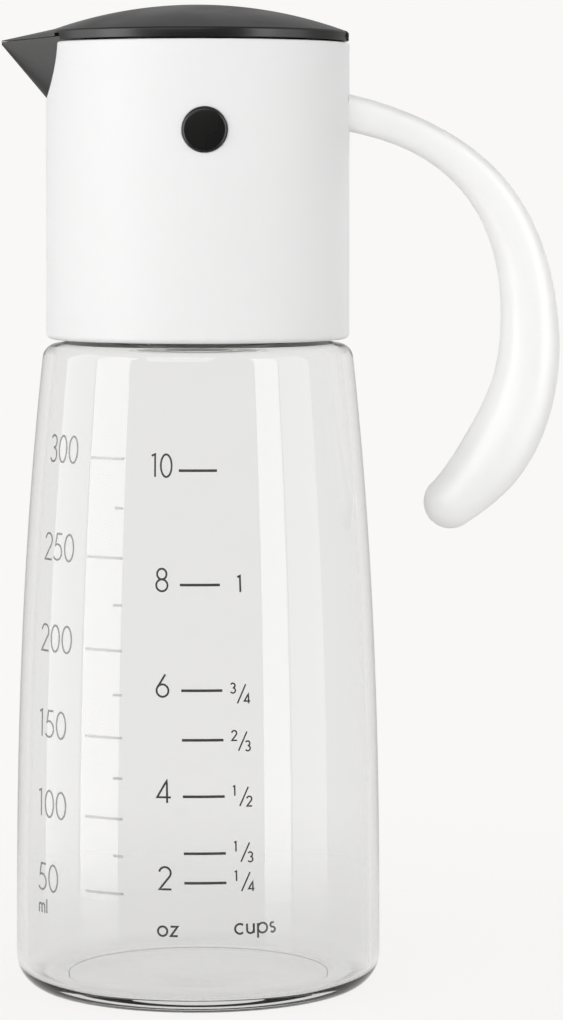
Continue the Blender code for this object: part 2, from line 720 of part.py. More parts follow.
def build_spout_insert(parts, cutters):
    """Black cup with the pouring duct, the air vent, the beak and the fixed hinge knuckles."""
    high = LID_TOP + LID_RISE
    edge = GAP
    profile = [
        (0.0, CUP_TOP),
        (CUP_OUTER - edge, CUP_TOP),
        (CUP_OUTER, CUP_TOP - edge),
        (CUP_OUTER, FLOOR_BOTTOM + edge),
        (CUP_OUTER - edge, FLOOR_BOTTOM),
        (0.0, FLOOR_BOTTOM),
    ]
    insert = turned("spout_insert", profile, parts)
    fuse(insert, loft("beak_body", beak_rings(0.0, 0.0, CUP_INNER - 2 * CUP_WALL), cutters))
    for side, label in ((-1, "left"), (1, "right")):
        fuse(insert, *hinge_knuckle(side, label, cutters))

    wide = 2 * CUP_OUTER
    room = plate("room", room_outline(wide, high), wide, cutters)
    ceiling = high + LID_RISE
    profile = [(0.0, ceiling), (CUP_INNER, ceiling), (CUP_INNER, FLOOR_BOTTOM), (0.0, FLOOR_BOTTOM)]
    keep_inside(room, turned("room_bore", profile, cutters))
    cut(insert, room)
    cut(insert, loft("beak_channel", beak_rings(-BEAK_WALL, 3 * CUP_WALL, CUP_INNER - 4 * CUP_WALL), cutters))

    hole_end = -DUCT_FOOT - DUCT_WALL * 2
    cut(
        insert,
        box(
            "pour_hole",
            (hole_end - POUR_HOLE_LENGTH, -POUR_HOLE_WIDTH / 2, FLOOR_BOTTOM - CUP_FLOOR),
            (hole_end, POUR_HOLE_WIDTH / 2, FLOOR_TOP + CUP_FLOOR / 2),
            cutters,
        ),
    )
    vent_top = FLOOR_TOP + VENT_HEIGHT
    fuse(
        insert,
        rod(
            "vent_tube",
            VENT_RADIUS + VENT_WALL,
            (VENT_SETBACK, 0.0, FLOOR_BOTTOM + edge),
            (VENT_SETBACK, 0.0, vent_top),
            cutters,
            segments=16,
        ),
    )
    cut(
        insert,
        rod(
            "vent_bore",
            VENT_RADIUS,
            (VENT_SETBACK, 0.0, FLOOR_BOTTOM - CUP_FLOOR),
            (VENT_SETBACK, 0.0, vent_top + CUP_FLOOR),
            cutters,
            segments=16,
        ),
        cross_rod("stem_bore", STEM_RADIUS + GAP, PIVOT_HEIGHT, -wide, wide, cutters),
        hinge_pin_hole("knuckle_pin_hole", cutters),
    )
    return finish(insert, (0.03, 0.03, 0.03), 0.35)


def hinge_knuckle(side, label, cutters):
    """The ear that carries one end of the hinge pin, rooted in the rim of the cup."""
    inner = BARREL_HALF_LENGTH + GAP
    outer = inner + KNUCKLE_LENGTH
    low, high = sorted((side * inner, side * outer))
    root_in = math.sqrt(CUP_INNER**2 - inner**2)
    root_out = math.sqrt(CUP_OUTER**2 - outer**2)
    top = HINGE_Z + KNUCKLE_ARM_RISE
    return (
        cross_rod(f"knuckle_{label}", BARREL_RADIUS, HINGE_Z, low, high, cutters, x=HINGE_X),
        box(f"knuckle_arm_{label}", (root_in, low, SLEEVE_TOP + GAP), (HINGE_X, high, top), cutters),
        box(f"knuckle_post_{label}", (root_in, low, CUP_TOP - CUP_DROP), (root_out, high, top), cutters),
    )


def hinge_pin_hole(name, cutters):
    """The bore for the hinge pin through every knuckle."""
    reach = BARREL_HALF_LENGTH + 2 * KNUCKLE_LENGTH
    radius = HINGE_PIN_RADIUS + HINGE_PIN_GAP
    return cross_rod(name, radius, HINGE_Z, -reach, reach, cutters, x=HINGE_X, segments=16)


def build_hinge_pin(parts):
    """Steel pin of the lid hinge."""
    reach = BARREL_HALF_LENGTH + GAP + KNUCKLE_LENGTH
    pin = cross_rod("lid_hinge_pin", HINGE_PIN_RADIUS, HINGE_Z, -reach, reach, parts, x=HINGE_X, segments=16)
    return finish(pin, (0.72, 0.73, 0.74), 0.25, metallic=1.0)


def build_axle_group(parts, cutters):
    """Cross axle, its two flanged caps and the two spacers that centre the rocker."""
    pieces = []
    reach = CAP_BACK - GAP
    axle = cross_rod("pivot_axle", AXLE_RADIUS, PIVOT_HEIGHT, -reach, reach, parts)
    pieces.append(finish(axle, (0.72, 0.73, 0.74), 0.25, metallic=1.0))
    for side, label in ((-1, "front"), (1, "back")):
        crown = CAP_THICKNESS - CAP_ROUNDING
        stem = CAP_BACK - STEM_END
        profile = [(0.0, CAP_THICKNESS)]
        profile += arc((CAP_RADIUS - CAP_ROUNDING, crown), CAP_ROUNDING, math.pi / 2, 0.0, 3)
        profile += [(CAP_RADIUS, 0.0), (STEM_RADIUS, 0.0), (STEM_RADIUS, -stem)]
        bore = AXLE_RADIUS + RUNNING_GAP
        profile += [(bore, -stem), (bore, 0.0), (0.0, 0.0)]
        cap = turned(f"pivot_cap_{label}", profile, parts, segments=28)
        cap.location = (0.0, side * CAP_BACK, PIVOT_HEIGHT)
        cap.rotation_euler = (-side * math.pi / 2, 0.0, 0.0)
        pieces.append(finish(cap, (0.012, 0.012, 0.012), 0.3))
        start = ROCKER_HALF_WIDTH + GAP
        end = STEM_END - GAP
        spacer = cross_rod(f"axle_spacer_{label}", STEM_RADIUS, PIVOT_HEIGHT, side * start, side * end, parts)
        bore_cut = cross_rod(
            f"spacer_bore_{label}", bore, PIVOT_HEIGHT, side * (start - GAP), side * (end + GAP), cutters
        )
        cut(spacer, bore_cut)
        pieces.append(finish(spacer, (0.8, 0.8, 0.78), 0.4))
    return pieces


def build_rocker(parts, cutters):
    """Gravity lever: hub on the axle, pocket for the weight, finger that lifts the lid."""
    width = ROCKER_HALF_WIDTH
    hub_radius = AXLE_RADIUS + RUNNING_GAP + ROCKER_WALL
    pocket = PIVOT_HEIGHT - POCKET_DROP
    rocker = cross_rod("rocker", hub_radius, PIVOT_HEIGHT, -width, width, parts)
    half_length = POCKET_HALF_LENGTH
    helpers = [cross_rod("weight_pocket", POCKET_RADIUS, pocket, -half_length, half_length, cutters)]
    half = WEB_THICKNESS / 2
    for label, centre in (("front", -WEB_SPREAD), ("middle", 0.0), ("back", WEB_SPREAD)):
        low = (-WEB_DEPTH / 2, centre - half, pocket)
        high = (WEB_DEPTH / 2, centre + half, PIVOT_HEIGHT)
        helpers.append(box(f"web_{label}", low, high, cutters))
    tip = Vector((-FINGER_REACH, 0.0, PIVOT_HEIGHT + FINGER_RISE))
    half = FINGER_WIDTH / 2
    helpers.append(cross_rod("finger_tip", FINGER_RADIUS, tip.z, -half, half, cutters, x=tip.x))
    helpers.append(plate("finger_arm", finger_outline(tip), FINGER_WIDTH / 2, cutters))
    fuse(rocker, *helpers)
    closed_end = -half_length + POCKET_WALL
    open_end = half_length - POCKET_LIP
    bore = AXLE_RADIUS + RUNNING_GAP
    cut(
        rocker,
        cross_rod("axle_bore", bore, PIVOT_HEIGHT, -width - GAP, width + GAP, cutters),
        cross_rod("weight_bore", WEIGHT_RADIUS + GAP, pocket, closed_end, open_end, cutters),
        cross_rod("pocket_mouth", WEIGHT_RADIUS - GAP, pocket, 0.0, half_length + GAP, cutters),
    )
    return finish(rocker, (0.05, 0.05, 0.05), 0.4)


def finger_outline(tip):
    """(x, z) corners of the finger's arm between the hub and the tip."""
    pivot = Vector((0.0, 0.0, PIVOT_HEIGHT))
    along = (tip - pivot).normalized()
    side = Vector((-along.z, 0.0, along.x))
    root = pivot + along * FINGER_START
    wide = side * FINGER_ROOT_RADIUS
    narrow = side * FINGER_RADIUS
    corners = (root + wide, tip + narrow, tip - narrow, root - wide)
    return [(corner.x, corner.z) for corner in corners]


def build_counterweight(parts):
    """Steel slug in the rocker's pocket."""
    start = -POCKET_HALF_LENGTH + POCKET_WALL + GAP
    pocket = PIVOT_HEIGHT - POCKET_DROP
    slug = cross_rod("counterweight", WEIGHT_RADIUS, pocket, start, start + WEIGHT_LENGTH - GAP, parts)
    return finish(slug, (0.6, 0.61, 0.62), 0.35, metallic=1.0)


def dome_height(radius, depth=0.0):
    """Height of the lid's dome at a radius, or of the surface that far below it."""
    inner = DOME_RADIUS - depth
    return LID_TOP - DOME_RADIUS + math.sqrt(inner**2 - radius**2)


def build_lid(parts, cutters):
    """Domed lid with its rim band, the ring that holds the liner, the tongue and the hinge barrel."""
    steps = 6
    rim = LID_RADIUS - LID_EDGE
    profile = [(0.0, LID_TOP)]
    for i in range(1, steps + 1):
        radius = rim * i / steps
        profile.append((radius, dome_height(radius)))
    band = LID_RADIUS - LID_BAND_WALL
    ring = LINER_RADIUS - 2 * LID_SHELL
    profile += [(LID_RADIUS, LID_BAND_TOP - LID_EDGE), (LID_RADIUS, LID_BOTTOM), (band, LID_BOTTOM)]
    for i in range(3):
        radius = band + (ring - band) * i / 2
        profile.append((radius, dome_height(radius, LID_SHELL)))
    profile += [(ring, LINER_TOP + GAP), (ring - LID_SHELL, LINER_TOP + GAP)]
    inner_steps = 3
    for i in range(inner_steps + 1):
        radius = (ring - LID_SHELL) * (1 - i / inner_steps)
        profile.append((radius, dome_height(radius, LID_SHELL)))
    lid = turned("lid", profile, parts)
    fuse(lid, loft("tongue", tongue_rings(), cutters))
    cut(lid, loft("beak_room", beak_room_rings(), cutters))

    far, high = 2 * LID_RADIUS, 2 * LID_TOP
    ear = BARREL_HALF_LENGTH + KNUCKLE_LENGTH + 2 * GAP
    root = math.sqrt(CUP_INNER**2 - (BARREL_HALF_LENGTH + GAP) ** 2) - GAP
    reach = (BARREL_HALF_LENGTH + ear) / 2
    notch = HINGE_X - BARREL_RADIUS / 3
    cut(lid, box("hinge_notch", (notch, -reach, 0.0), (far, reach, high), cutters))
    fuse(lid, cross_rod("lid_barrel", BARREL_RADIUS, HINGE_Z, -reach - GAP, reach + GAP, cutters, x=HINGE_X))
    for side, label in ((-1, "left"), (1, "right")):
        low_y, high_y = sorted((side * BARREL_HALF_LENGTH, side * ear))
        cut(lid, box(f"ear_notch_{label}", (root, low_y, 0.0), (far, high_y, high), cutters))
    cut(lid, hinge_pin_hole("barrel_pin_hole", cutters))
    return finish(lid, (0.09, 0.09, 0.088), 0.45)


def tongue_rings():
    """Sections of the tongue from inside the dome to the tip of the beak."""
    rings = []
    apex = -BEAK_REACH
    band = -(LID_RADIUS - LID_BAND_WALL)
    mid = dome_height(-band) - LID_EDGE / 2
    inside = band + TONGUE_ROOT
    stations = (
        (inside, LID_BAND_TOP - LID_EDGE, dome_height(-inside) - LID_EDGE),
        (band, LID_BAND_TOP - LID_EDGE, mid),
        (apex + BEAK_BLUNT, BEAK_TIP + GAP + LID_EDGE, BEAK_TIP + GAP + LID_EDGE * 1.5),
    )
    for x, edge, crown in stations:
        u = x - apex
        half = BEAK_WIDTH_RATE * u
        floor = BEAK_TIP + BEAK_RISE_RATE * u - TONGUE_SIDE / 2
        ring = [(x, half, floor), (x, -half, floor), (x, -half, edge)]
        steps = 6
        for i in range(1, steps):
            y = -1 + 2 * i / steps
            ring.append((x, half * y, edge + (crown - edge) * (1 - y * y)))
        ring.append((x, half, edge))
        rings.append(ring)
    return rings


def beak_room_rings():
    """Room for the beak under the tongue and through the band of the lid."""
    rings = []
    for ring in beak_rings(BEAK_SIDE_GAP, 0.0, CUP_INNER - 2 * CUP_WALL):
        rings.append([(x, y, z + GAP) for x, y, z in ring])
    return rings


def finger_path(share):
    """Centre of the finger's tip as the lid sees it, at a share of the full opening."""
    lid_turn = LID_OPENING * share
    turn = lid_turn * ROCKER_RATIO
    x = -FINGER_REACH * math.cos(turn) + FINGER_RISE * math.sin(turn)
    z = FINGER_REACH * math.sin(turn) + FINGER_RISE * math.cos(turn)
    dx = x - HINGE_X
    dz = PIVOT_HEIGHT + z - HINGE_Z
    back_x = dx * math.cos(lid_turn) - dz * math.sin(lid_turn)
    back_z = dx * math.sin(lid_turn) + dz * math.cos(lid_turn)
    return HINGE_X + back_x, HINGE_Z + back_z


def cam_outline(steps=8):
    """Outline of the push rib: its lower edge is the path of the finger, a clearance above it."""
    lift = FINGER_RADIUS + GAP
    lower = []
    for i in range(steps + 1):
        x, z = finger_path(i / steps)
        lower.append((x, z + lift))
    first, last = lower[0], lower[-1]
    overhang = 2 * FINGER_RADIUS
    top = LINER_BOTTOM + LINER_THICKNESS / 2
    outline = [(first[0] - overhang / 2, top), (first[0] - overhang / 2, first[1])]
    return outline + lower + [(last[0] + overhang, last[1]), (last[0] + overhang, top)]


def build_lid_liner(parts, cutters):
    """Plate under the dome: the ring that carries the seal, and the rib that the finger pushes."""
    ring = LINER_RADIUS - LID_SEAL_WIDTH + GAP
    low = LINER_BOTTOM - LINER_RING_DEPTH
    spigot = LINER_RADIUS - 3 * LID_SHELL - GAP
    spigot_top = LINER_TOP + SPIGOT_HEIGHT
    profile = [
        (0.0, LINER_TOP),
        (spigot - LID_SHELL, LINER_TOP),
        (spigot - LID_SHELL, spigot_top),
        (spigot, spigot_top),
        (spigot, LINER_TOP),
        (LINER_RADIUS, LINER_TOP),
        (LINER_RADIUS, LINER_BOTTOM),
        (ring, LINER_BOTTOM),
        (ring, low + LINER_LIP),
        (LINER_RADIUS - 2 * GAP, low + LINER_LIP),
        (LINER_RADIUS - 3 * GAP, low),
        (ring - LINER_RING_WALL, low),
        (ring - LINER_RING_WALL, LINER_BOTTOM),
        (0.0, LINER_BOTTOM),
    ]
    liner = turned("lid_liner", profile, parts, segments=SMALL_SEGMENTS)
    fuse(liner, plate("push_rib", cam_outline(), RIB_WIDTH / 2, cutters))
    return finish(liner, (0.05, 0.05, 0.05), 0.4)


def build_lid_seal(parts):
    """Silicone ring in the groove of the liner."""
    inner = LINER_RADIUS - LID_SEAL_WIDTH + 2 * GAP
    outer = CUP_INNER - 1.5 * GAP
    low = LINER_BOTTOM - LINER_RING_DEPTH + LINER_LIP + GAP
    high = LINER_BOTTOM - GAP
    middle = (low + high) / 2
    profile = [(outer - GAP, high), (outer, middle), (outer - GAP, low), (inner, low), (inner, high)]
    seal = turned("lid_seal", profile, parts, closed=True, segments=SMALL_SEGMENTS)
    return finish(seal, (0.8, 0.8, 0.78), 0.55)


def main():
    clear_scene()
    parts = new_collection("olive_oil_dispenser")
    cutters = new_collection("cutters")
    head_axis = add_axis("head_turn_axis", (0.0, 0.0, NECK_TOP), parts)
    lid_axis = add_axis("lid_hinge_axis", (HINGE_X, 0.0, HINGE_Z), parts)
    rocker_axis = add_axis("rocker_pivot_axis", (0.0, 0.0, PIVOT_HEIGHT), parts)

    build_glass_bottle(parts, cutters)
    build_neck_gasket(parts)
    known = set(bpy.data.objects)
    build_threaded_collar(parts, cutters)
    build_insert_seal(parts)
    build_head_sleeve(parts, cutters)
    build_handle_screws(parts)
    build_handle(parts, cutters)
    build_spout_insert(parts, cutters)
    build_hinge_pin(parts)
    build_axle_group(parts, cutters)
    attach(head_axis, lid_axis, rocker_axis, *(set(bpy.data.objects) - known))

    known = set(bpy.data.objects)
    build_rocker(parts, cutters)
    build_counterweight(parts)
    attach(rocker_axis, *(set(bpy.data.objects) - known))

    known = set(bpy.data.objects)
    build_lid(parts, cutters)
    build_lid_liner(parts, cutters)
    build_lid_seal(parts)
    attach(lid_axis, *(set(bpy.data.objects) - known))


main()
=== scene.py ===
"""Looks of the olive oil dispenser: clear glass, white head, charcoal lid, printed volume scale.

Sizes are in millimetres and +Z is up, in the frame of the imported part: the origin is the centre of the
foot, the beak points to -X and the handle to +X.
"""

from __future__ import annotations

import logging
import math
from dataclasses import dataclass, field
from enum import Enum
from typing import Any, Sequence

import bpy
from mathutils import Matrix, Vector


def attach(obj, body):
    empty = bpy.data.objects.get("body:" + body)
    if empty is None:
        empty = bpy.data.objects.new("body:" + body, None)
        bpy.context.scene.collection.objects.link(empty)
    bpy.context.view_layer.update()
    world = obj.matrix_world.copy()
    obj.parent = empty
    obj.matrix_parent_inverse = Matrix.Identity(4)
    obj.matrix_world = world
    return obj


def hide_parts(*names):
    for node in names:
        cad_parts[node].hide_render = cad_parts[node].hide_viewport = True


MM = 0.001
OVERCUT = 2.0
LOG = logging.getLogger("dispenser")

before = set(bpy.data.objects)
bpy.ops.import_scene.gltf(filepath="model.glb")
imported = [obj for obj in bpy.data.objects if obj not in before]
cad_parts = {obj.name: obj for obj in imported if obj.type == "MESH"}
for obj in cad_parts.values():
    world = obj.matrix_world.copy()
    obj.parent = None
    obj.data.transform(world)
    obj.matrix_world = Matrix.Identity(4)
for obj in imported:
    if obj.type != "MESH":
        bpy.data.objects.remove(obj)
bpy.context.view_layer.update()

Pair = tuple[float, float]
Triple = tuple[float, float, float]
Points = Sequence[Sequence[float]]
Strokes = list[tuple[list[Pair], float]]
Solid = bpy.types.Object
Tree = bpy.types.NodeTree
Socket = bpy.types.NodeSocket


class Shape(Enum):
    """What a helper does to the piece that it meets."""

    FUSE = "UNION"
    CUT = "DIFFERENCE"
    KEEP = "INTERSECT"


class Grain(Enum):
    """How the fine texture of a finish runs, as a scale along X, Y and Z."""

    EVEN = (1.0, 1.0, 1.0)
    UPRIGHT = (1.0, 1.0, 0.12)
    TURNED_ABOUT_Y = (1.0, 14.0, 1.0)


def arc(centre: Pair, radius: float, start: float, end: float, steps: int) -> list[Pair]:
    """Points on a circle.

    Args:
        centre: Middle of the circle.
        radius: Its radius.
        start: First angle in degrees.
        end: Last angle in degrees.
        steps: Number of stretches between the two.

    Returns:
        The points, both ends included.
    """
    points = []
    for i in range(steps + 1):
        angle = math.radians(start + (end - start) * i / steps)
        points.append((centre[0] + radius * math.cos(angle), centre[1] + radius * math.sin(angle)))
    return points


def blend(stations: Sequence[tuple[float, ...]], t: float) -> list[float]:
    """Smooth values between stations.

    Args:
        stations: Rows of a place along the way and the values there.
        t: The place that is asked for.

    Returns:
        The values at that place.
    """
    last = len(stations) - 1
    k = 0
    while k < last - 1 and t > stations[k + 1][0]:
        k += 1
    span = stations[k + 1][0] - stations[k][0]
    u = min(max((t - stations[k][0]) / span, 0.0), 1.0)
    values = []
    for column in range(1, len(stations[0])):
        a, b = stations[k][column], stations[k + 1][column]
        before, after = stations[max(k - 1, 0)], stations[min(k + 2, last)]
        slope_a = (b - before[column]) / max(stations[k + 1][0] - before[0], span) * span
        slope_b = (after[column] - a) / max(after[0] - stations[k][0], span) * span
        rise = u * u * (3 - 2 * u)
        values.append(a + (b - a) * rise + slope_a * u * (1 - u) ** 2 - slope_b * u * u * (1 - u))
    return values


def wire(
    tree: Tree, kind: str, inputs: dict[str | int, Any] | None = None, **settings: Any
) -> bpy.types.Node:
    """Add a shader node.

    Args:
        tree: The node tree.
        kind: Type of the node, without "ShaderNode" before it.
        inputs: Values or sockets for its inputs, by name or number.
        **settings: Its own properties.

    Returns:
        The new node.
    """
    node = tree.nodes.new(f"ShaderNode{kind}")
    for name, value in settings.items():
        setattr(node, name, value)
    for key, value in (inputs or {}).items():
        if isinstance(value, Socket):
            tree.links.new(value, node.inputs[key])
        else:
            node.inputs[key].default_value = value
    return node


class Bench:
    """Modelling moves made with Blender's operators. Lengths are in millimetres."""

    @staticmethod
    def select_only(*objects: Solid) -> None:
        """Select these objects alone; the last one becomes active.

        Args:
            *objects: The objects; with none, nothing is selected.
        """
        bpy.ops.object.select_all(action="DESELECT")
        for obj in objects:
            obj.select_set(True)
        bpy.context.view_layer.objects.active = objects[-1] if objects else None

    @staticmethod
    def start(name: str) -> Solid:
        """Name the primitive that was just added and put its place into its mesh.

        Args:
            name: Its name.

        Returns:
            The primitive.
        """
        obj = bpy.context.object
        obj.name = name
        obj.data.name = name
        bpy.ops.object.transform_apply(location=True, rotation=True, scale=True)
        return obj

    @staticmethod
    def chain(name: str, points: Points, closed: bool = False) -> Solid:
        """A chain of edges, extruded vertex by vertex.

        Args:
            name: Name of the new object.
            points: Places of its vertices.
            closed: Whether the last vertex joins the first.

        Returns:
            The new object.
        """
        Bench.select_only()
        bpy.ops.mesh.primitive_circle_add(vertices=3, radius=MM)
        obj = Bench.start(name)
        bpy.ops.object.mode_set(mode="EDIT")
        bpy.ops.mesh.select_all(action="SELECT")
        bpy.ops.mesh.merge(type="CENTER")
        places = [Vector(point) * MM for point in points]
        bpy.ops.transform.translate(value=places[0])
        for here, there in zip(places, places[1:]):
            bpy.ops.mesh.extrude_vertices_move(TRANSFORM_OT_translate={"value": there - here})
        if closed:
            bpy.ops.mesh.extrude_vertices_move(TRANSFORM_OT_translate={"value": places[0] - places[-1]})
            bpy.ops.mesh.select_all(action="SELECT")
            bpy.ops.mesh.remove_doubles(threshold=0.001 * MM)
        bpy.ops.object.mode_set(mode="OBJECT")
        return obj

    @staticmethod
    def filled(name: str, outline: Points) -> Solid:
        """A filled flat outline, left in edit mode with its face selected.

        Args:
            name: Name of the new object.
            outline: Corners of the outline.

        Returns:
            The new object.
        """
        obj = Bench.chain(name, outline, closed=True)
        bpy.ops.object.mode_set(mode="EDIT")
        bpy.ops.mesh.select_all(action="SELECT")
        bpy.ops.mesh.edge_face_add()
        return obj

    @staticmethod
    def close_edit() -> None:
        """Merge doubles, point the faces outwards and leave edit mode."""
        bpy.ops.mesh.select_all(action="SELECT")
        bpy.ops.mesh.remove_doubles(threshold=0.002 * MM)
        bpy.ops.mesh.normals_make_consistent(inside=False)
        bpy.ops.object.mode_set(mode="OBJECT")

    @staticmethod
    def lathe(name: str, profile: Sequence[Pair], steps: int, closed: bool = False) -> Solid:
        """A solid of revolution about Z, spun from a profile.

        Args:
            name: Name of the new object.
            profile: (radius, height) points.
            steps: Number of segments round the axis.
            closed: Whether the last point joins the first.

        Returns:
            The new object.
        """
        obj = Bench.chain(name, [(radius, 0.0, height) for radius, height in profile], closed)
        bpy.ops.object.mode_set(mode="EDIT")
        bpy.ops.mesh.select_all(action="SELECT")
        bpy.ops.mesh.spin(steps=steps, angle=math.tau, center=(0, 0, 0), axis=(0, 0, 1))
        Bench.close_edit()
        return obj

    @staticmethod
    def loft(name: str, rings: Sequence[Points]) -> Solid:
        """A solid whose skin bridges one ring of points after another, with flat ends.

        Args:
            name: Name of the new object.
            rings: The rings, all with the same number of points.

        Returns:
            The new object.
        """
        loops = [Bench.chain(f"{name}_{i}", ring, closed=True) for i, ring in enumerate(rings)]
        Bench.select_only(*reversed(loops))
        bpy.ops.object.join()
        bpy.ops.object.mode_set(mode="EDIT")
        bpy.ops.mesh.select_all(action="SELECT")
        bpy.ops.mesh.bridge_edge_loops()
        bpy.ops.mesh.select_all(action="SELECT")
        bpy.ops.mesh.fill_holes(sides=0)
        Bench.close_edit()
        obj = bpy.context.object
        obj.name = name
        obj.data.name = name
        return obj

    @staticmethod
    def slab(name: str, outline: Points, shift: Triple) -> Solid:
        """A flat outline, filled and extruded by a shift.

        Args:
            name: Name of the new object.
            outline: Corners of the outline.
            shift: Way of the extrusion.

        Returns:
            The new object.
        """
        obj = Bench.filled(name, outline)
        bpy.ops.mesh.extrude_region_move(TRANSFORM_OT_translate={"value": Vector(shift) * MM})
        Bench.close_edit()
        return obj

    @staticmethod
    def cone(name: str, outline: Points, apex: Triple, share: float) -> Solid:
        """A filled outline, extruded and shrunk towards an apex.

        Args:
            name: Name of the new object.
            outline: Corners of the wide end.
            apex: Point that it shrinks towards.
            share: Share of its size that is left at the narrow end.

        Returns:
            The new object.
        """
        obj = Bench.filled(name, outline)
        bpy.ops.mesh.extrude_region_move(TRANSFORM_OT_translate={"value": (0, 0, 0)})
        bpy.ops.transform.resize(value=(share, share, share), center_override=Vector(apex) * MM)
        Bench.close_edit()
        return obj

    @staticmethod
    def coil(name: str, outline: Points, turns: float, pitch: float, steps: int) -> Solid:
        """A ridge wound about Z: an outline, extruded and turned step by step, small at both ends.

        Args:
            name: Name of the new object.
            outline: The section, in the XZ plane.
            turns: Number of turns.
            pitch: Rise of one turn.
            steps: Steps in one turn.

        Returns:
            The new object.
        """
        obj = Bench.filled(name, outline)
        middle = sum((Vector(point) for point in outline), Vector()) / len(outline) * MM
        count = round(turns * steps)
        run = steps // 6
        rise = pitch * MM / steps
        shares = [0.3 + 0.7 * min(i, count - i, run) / run for i in range(count + 1)]
        bpy.ops.transform.resize(value=(shares[0],) * 3, center_override=middle)
        for i, (before, share) in enumerate(zip(shares, shares[1:]), 1):
            bpy.ops.mesh.extrude_region_move(TRANSFORM_OT_translate={"value": (0, 0, rise)})
            bpy.ops.transform.rotate(value=-math.tau / steps, orient_axis="Z", center_override=(0, 0, 0))
            angle = math.tau * i / steps
            here = Vector((middle.x * math.cos(angle), middle.x * math.sin(angle), middle.z + rise * i))
            bpy.ops.transform.resize(value=(share / before,) * 3, center_override=here)
        Bench.close_edit()
        return obj

    @staticmethod
    def bar(name: str, radius: float, start: Triple, end: Triple, sides: int) -> Solid:
        """A round bar between two points.

        Args:
            name: Name of the new object.
            radius: Radius of the bar.
            start: Middle of its first end.
            end: Middle of its other end.
            sides: Number of its sides.

        Returns:
            The new object.
        """
        low, high = Vector(start) * MM, Vector(end) * MM
        Bench.select_only()
        bpy.ops.mesh.primitive_cylinder_add(
            vertices=sides,
            radius=radius * MM,
            depth=(high - low).length,
            location=(low + high) / 2,
            rotation=(high - low).to_track_quat("Z", "Y").to_euler(),
        )
        return Bench.start(name)

    @staticmethod
    def block(name: str, low: Triple, high: Triple) -> Solid:
        """A block between two corners.

        Args:
            name: Name of the new object.
            low: Corner with the lowest values.
            high: Corner with the highest values.

        Returns:
            The new object.
        """
        a, b = Vector(low) * MM, Vector(high) * MM
        Bench.select_only()
        bpy.ops.mesh.primitive_cube_add(size=1, location=(a + b) / 2, scale=b - a)
        return Bench.start(name)

    @staticmethod
    def combine(obj: Solid, shape: Shape, *helpers: Solid) -> Solid:
        """Fuse, cut or intersect a piece with helpers, which are used up.

        Args:
            obj: The piece.
            shape: What the helpers do to it.
            *helpers: The helpers, one after another.

        Returns:
            The piece.
        """
        for helper in helpers:
            modifier = obj.modifiers.new(helper.name, "BOOLEAN")
            modifier.operation = shape.value
            modifier.solver = "EXACT"
            modifier.object = helper
            Bench.select_only(obj)
            bpy.ops.object.modifier_apply(modifier=modifier.name)
            bpy.data.objects.remove(helper, do_unlink=True)
        return obj

    @staticmethod
    def smooth(obj: Solid, angle: float = 32) -> None:
        """Shade a piece smooth up to an angle in degrees."""
        Bench.select_only(obj)
        bpy.ops.object.shade_smooth_by_angle(angle=math.radians(angle))


